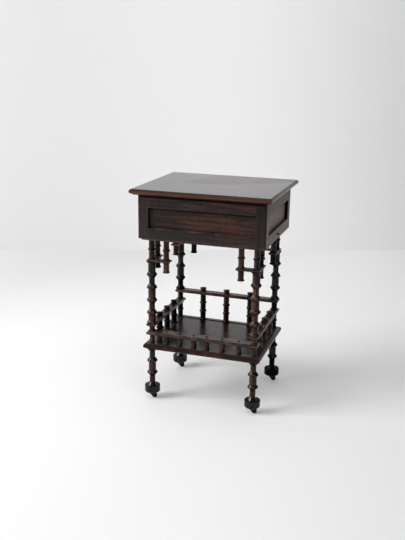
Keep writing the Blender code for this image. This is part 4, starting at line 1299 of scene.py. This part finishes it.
def dress_hinges():
    for side in ("left", "right"):
        for part in ("case_leaf", "lid_leaf", "pin"):
            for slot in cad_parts[f"{side}_hinge_{part}"].material_slots:
                slot.material = FINISHES["brass"]


# Room, lamps and camera
def stage_plane(name, corners, material):
    mesh = bpy.data.meshes.new(name)
    mesh.from_pydata(corners, [], [(0, 1, 2, 3)])
    mesh.materials.append(material)
    plane = add_object(name, mesh)


def make_floor():
    look = Finish("pale_floor", FLOOR_SHINE)
    x, y = look.axes(look.place)[:2]
    # Painted shade: the floor is darker towards the far left corner, on the right, and far in front
    corner = look.maths("SUBTRACT", y, look.times(x, FLOOR_CORNER_SLOPE))
    colour = look.mix(look.ramp(corner, *FLOOR_CORNER_SPAN), FLOOR_PALE, FLOOR_CORNER_SHADE)
    colour = look.mix(look.ramp(x, *FLOOR_RIGHT_SPAN), colour, FLOOR_RIGHT_SHADE)
    colour = look.mix(look.ramp(y, *FLOOR_DIM_SPAN), colour, FLOOR_DIM)
    look.glow(colour, FLOOR_GLOW)
    middle = (0, (FLOOR_BACK + FLOOR_FRONT) / 2)
    corners = rectangle(FLOOR_HALF_WIDTH, (FLOOR_BACK - FLOOR_FRONT) / 2, middle)
    stage_plane("floor", [(x, y, 0) for x, y in corners], look.finish(colour, FLOOR_ROUGHNESS))


def make_backdrop():
    """A wall behind the table, which is clear from its back."""
    look = Finish("pale_wall", WALL_SHINE)
    x = look.axes(look.place)[0]
    # Painted shade: the wall is darker to the left and far to the right
    colour = look.mix(look.ramp(x, *WALL_LEFT_SPAN), WALL_COLOUR, WALL_LEFT_SHADE)
    colour = look.mix(look.ramp(x, *WALL_RIGHT_SPAN), colour, WALL_RIGHT_SHADE)
    look.glow(colour, WALL_GLOW)
    either = look.node("ShaderNodeMixShader")
    look.set(either.inputs[0], look.node("ShaderNodeNewGeometry").outputs["Backfacing"])
    look.set(either.inputs[1], look.shader.outputs["BSDF"])
    look.set(either.inputs[2], look.node("ShaderNodeBsdfTransparent").outputs["BSDF"])
    look.set(look.tree.nodes["Material Output"].inputs["Surface"], either.outputs[0])
    turn = math.radians(WALL_TURN)
    reach = Vector((math.cos(turn), math.sin(turn))) * WALL_HALF_WIDTH
    left, right = Vector(WALL_MIDDLE) - reach, Vector(WALL_MIDDLE) + reach
    corners = [(*left, 0), (*right, 0), (*right, WALL_HEIGHT), (*left, WALL_HEIGHT)]
    stage_plane("wall", corners, look.finish(colour, WALL_ROUGHNESS))


def make_lamp(name, place, size, power):
    """A lamp that faces the floor below the table."""
    data = bpy.data.lights.new(name, "AREA")
    data.shape = "RECTANGLE"
    data.size, data.size_y = size
    data.energy = power
    lamp = add_object(name, data)
    lamp.location = place
    lamp.rotation_euler = (-Vector(place)).to_track_quat("-Z", "Y").to_euler()


def make_light():
    azimuth, elevation = math.radians(KEY_AZIMUTH), math.radians(KEY_ELEVATION)
    level = KEY_DISTANCE * math.cos(elevation)
    key = (level * math.cos(azimuth), level * math.sin(azimuth), KEY_DISTANCE * math.sin(elevation))
    make_lamp("window", key, KEY_SIZE, KEY_POWER)
    make_lamp("fill", FILL_PLACE, FILL_SIZE, FILL_POWER)
    world = bpy.data.worlds.new("room_light")
    bpy.context.scene.world = world
    world.use_nodes = True
    background = world.node_tree.nodes["Background"]
    background.inputs["Color"].default_value = (*WORLD_COLOUR, 1.0)
    background.inputs["Strength"].default_value = WORLD_STRENGTH


def make_camera():
    data = bpy.data.cameras.new("camera")
    data.lens = CAMERA_LENS
    data.sensor_width = CAMERA_SENSOR
    camera = add_object("camera", data)
    turn = Matrix.Rotation(math.radians(CAMERA_AZIMUTH), 3, "Z")
    tilt = Matrix.Rotation(math.radians(90 - CAMERA_ELEVATION), 3, "X")
    roll = Matrix.Rotation(math.radians(CAMERA_ROLL), 3, "Z")
    camera.rotation_euler = (turn @ tilt @ roll).to_euler()
    camera.location = CAMERA_PLACE
    bpy.context.scene.camera = camera
    bpy.context.scene.view_settings.view_transform = "Standard"


make_turned()
make_boards()
make_rails()
make_brackets()
make_walls()
make_bottom()
make_casters()
make_fasteners()
dress_hinges()
make_floor()
make_backdrop()
make_light()
make_camera()
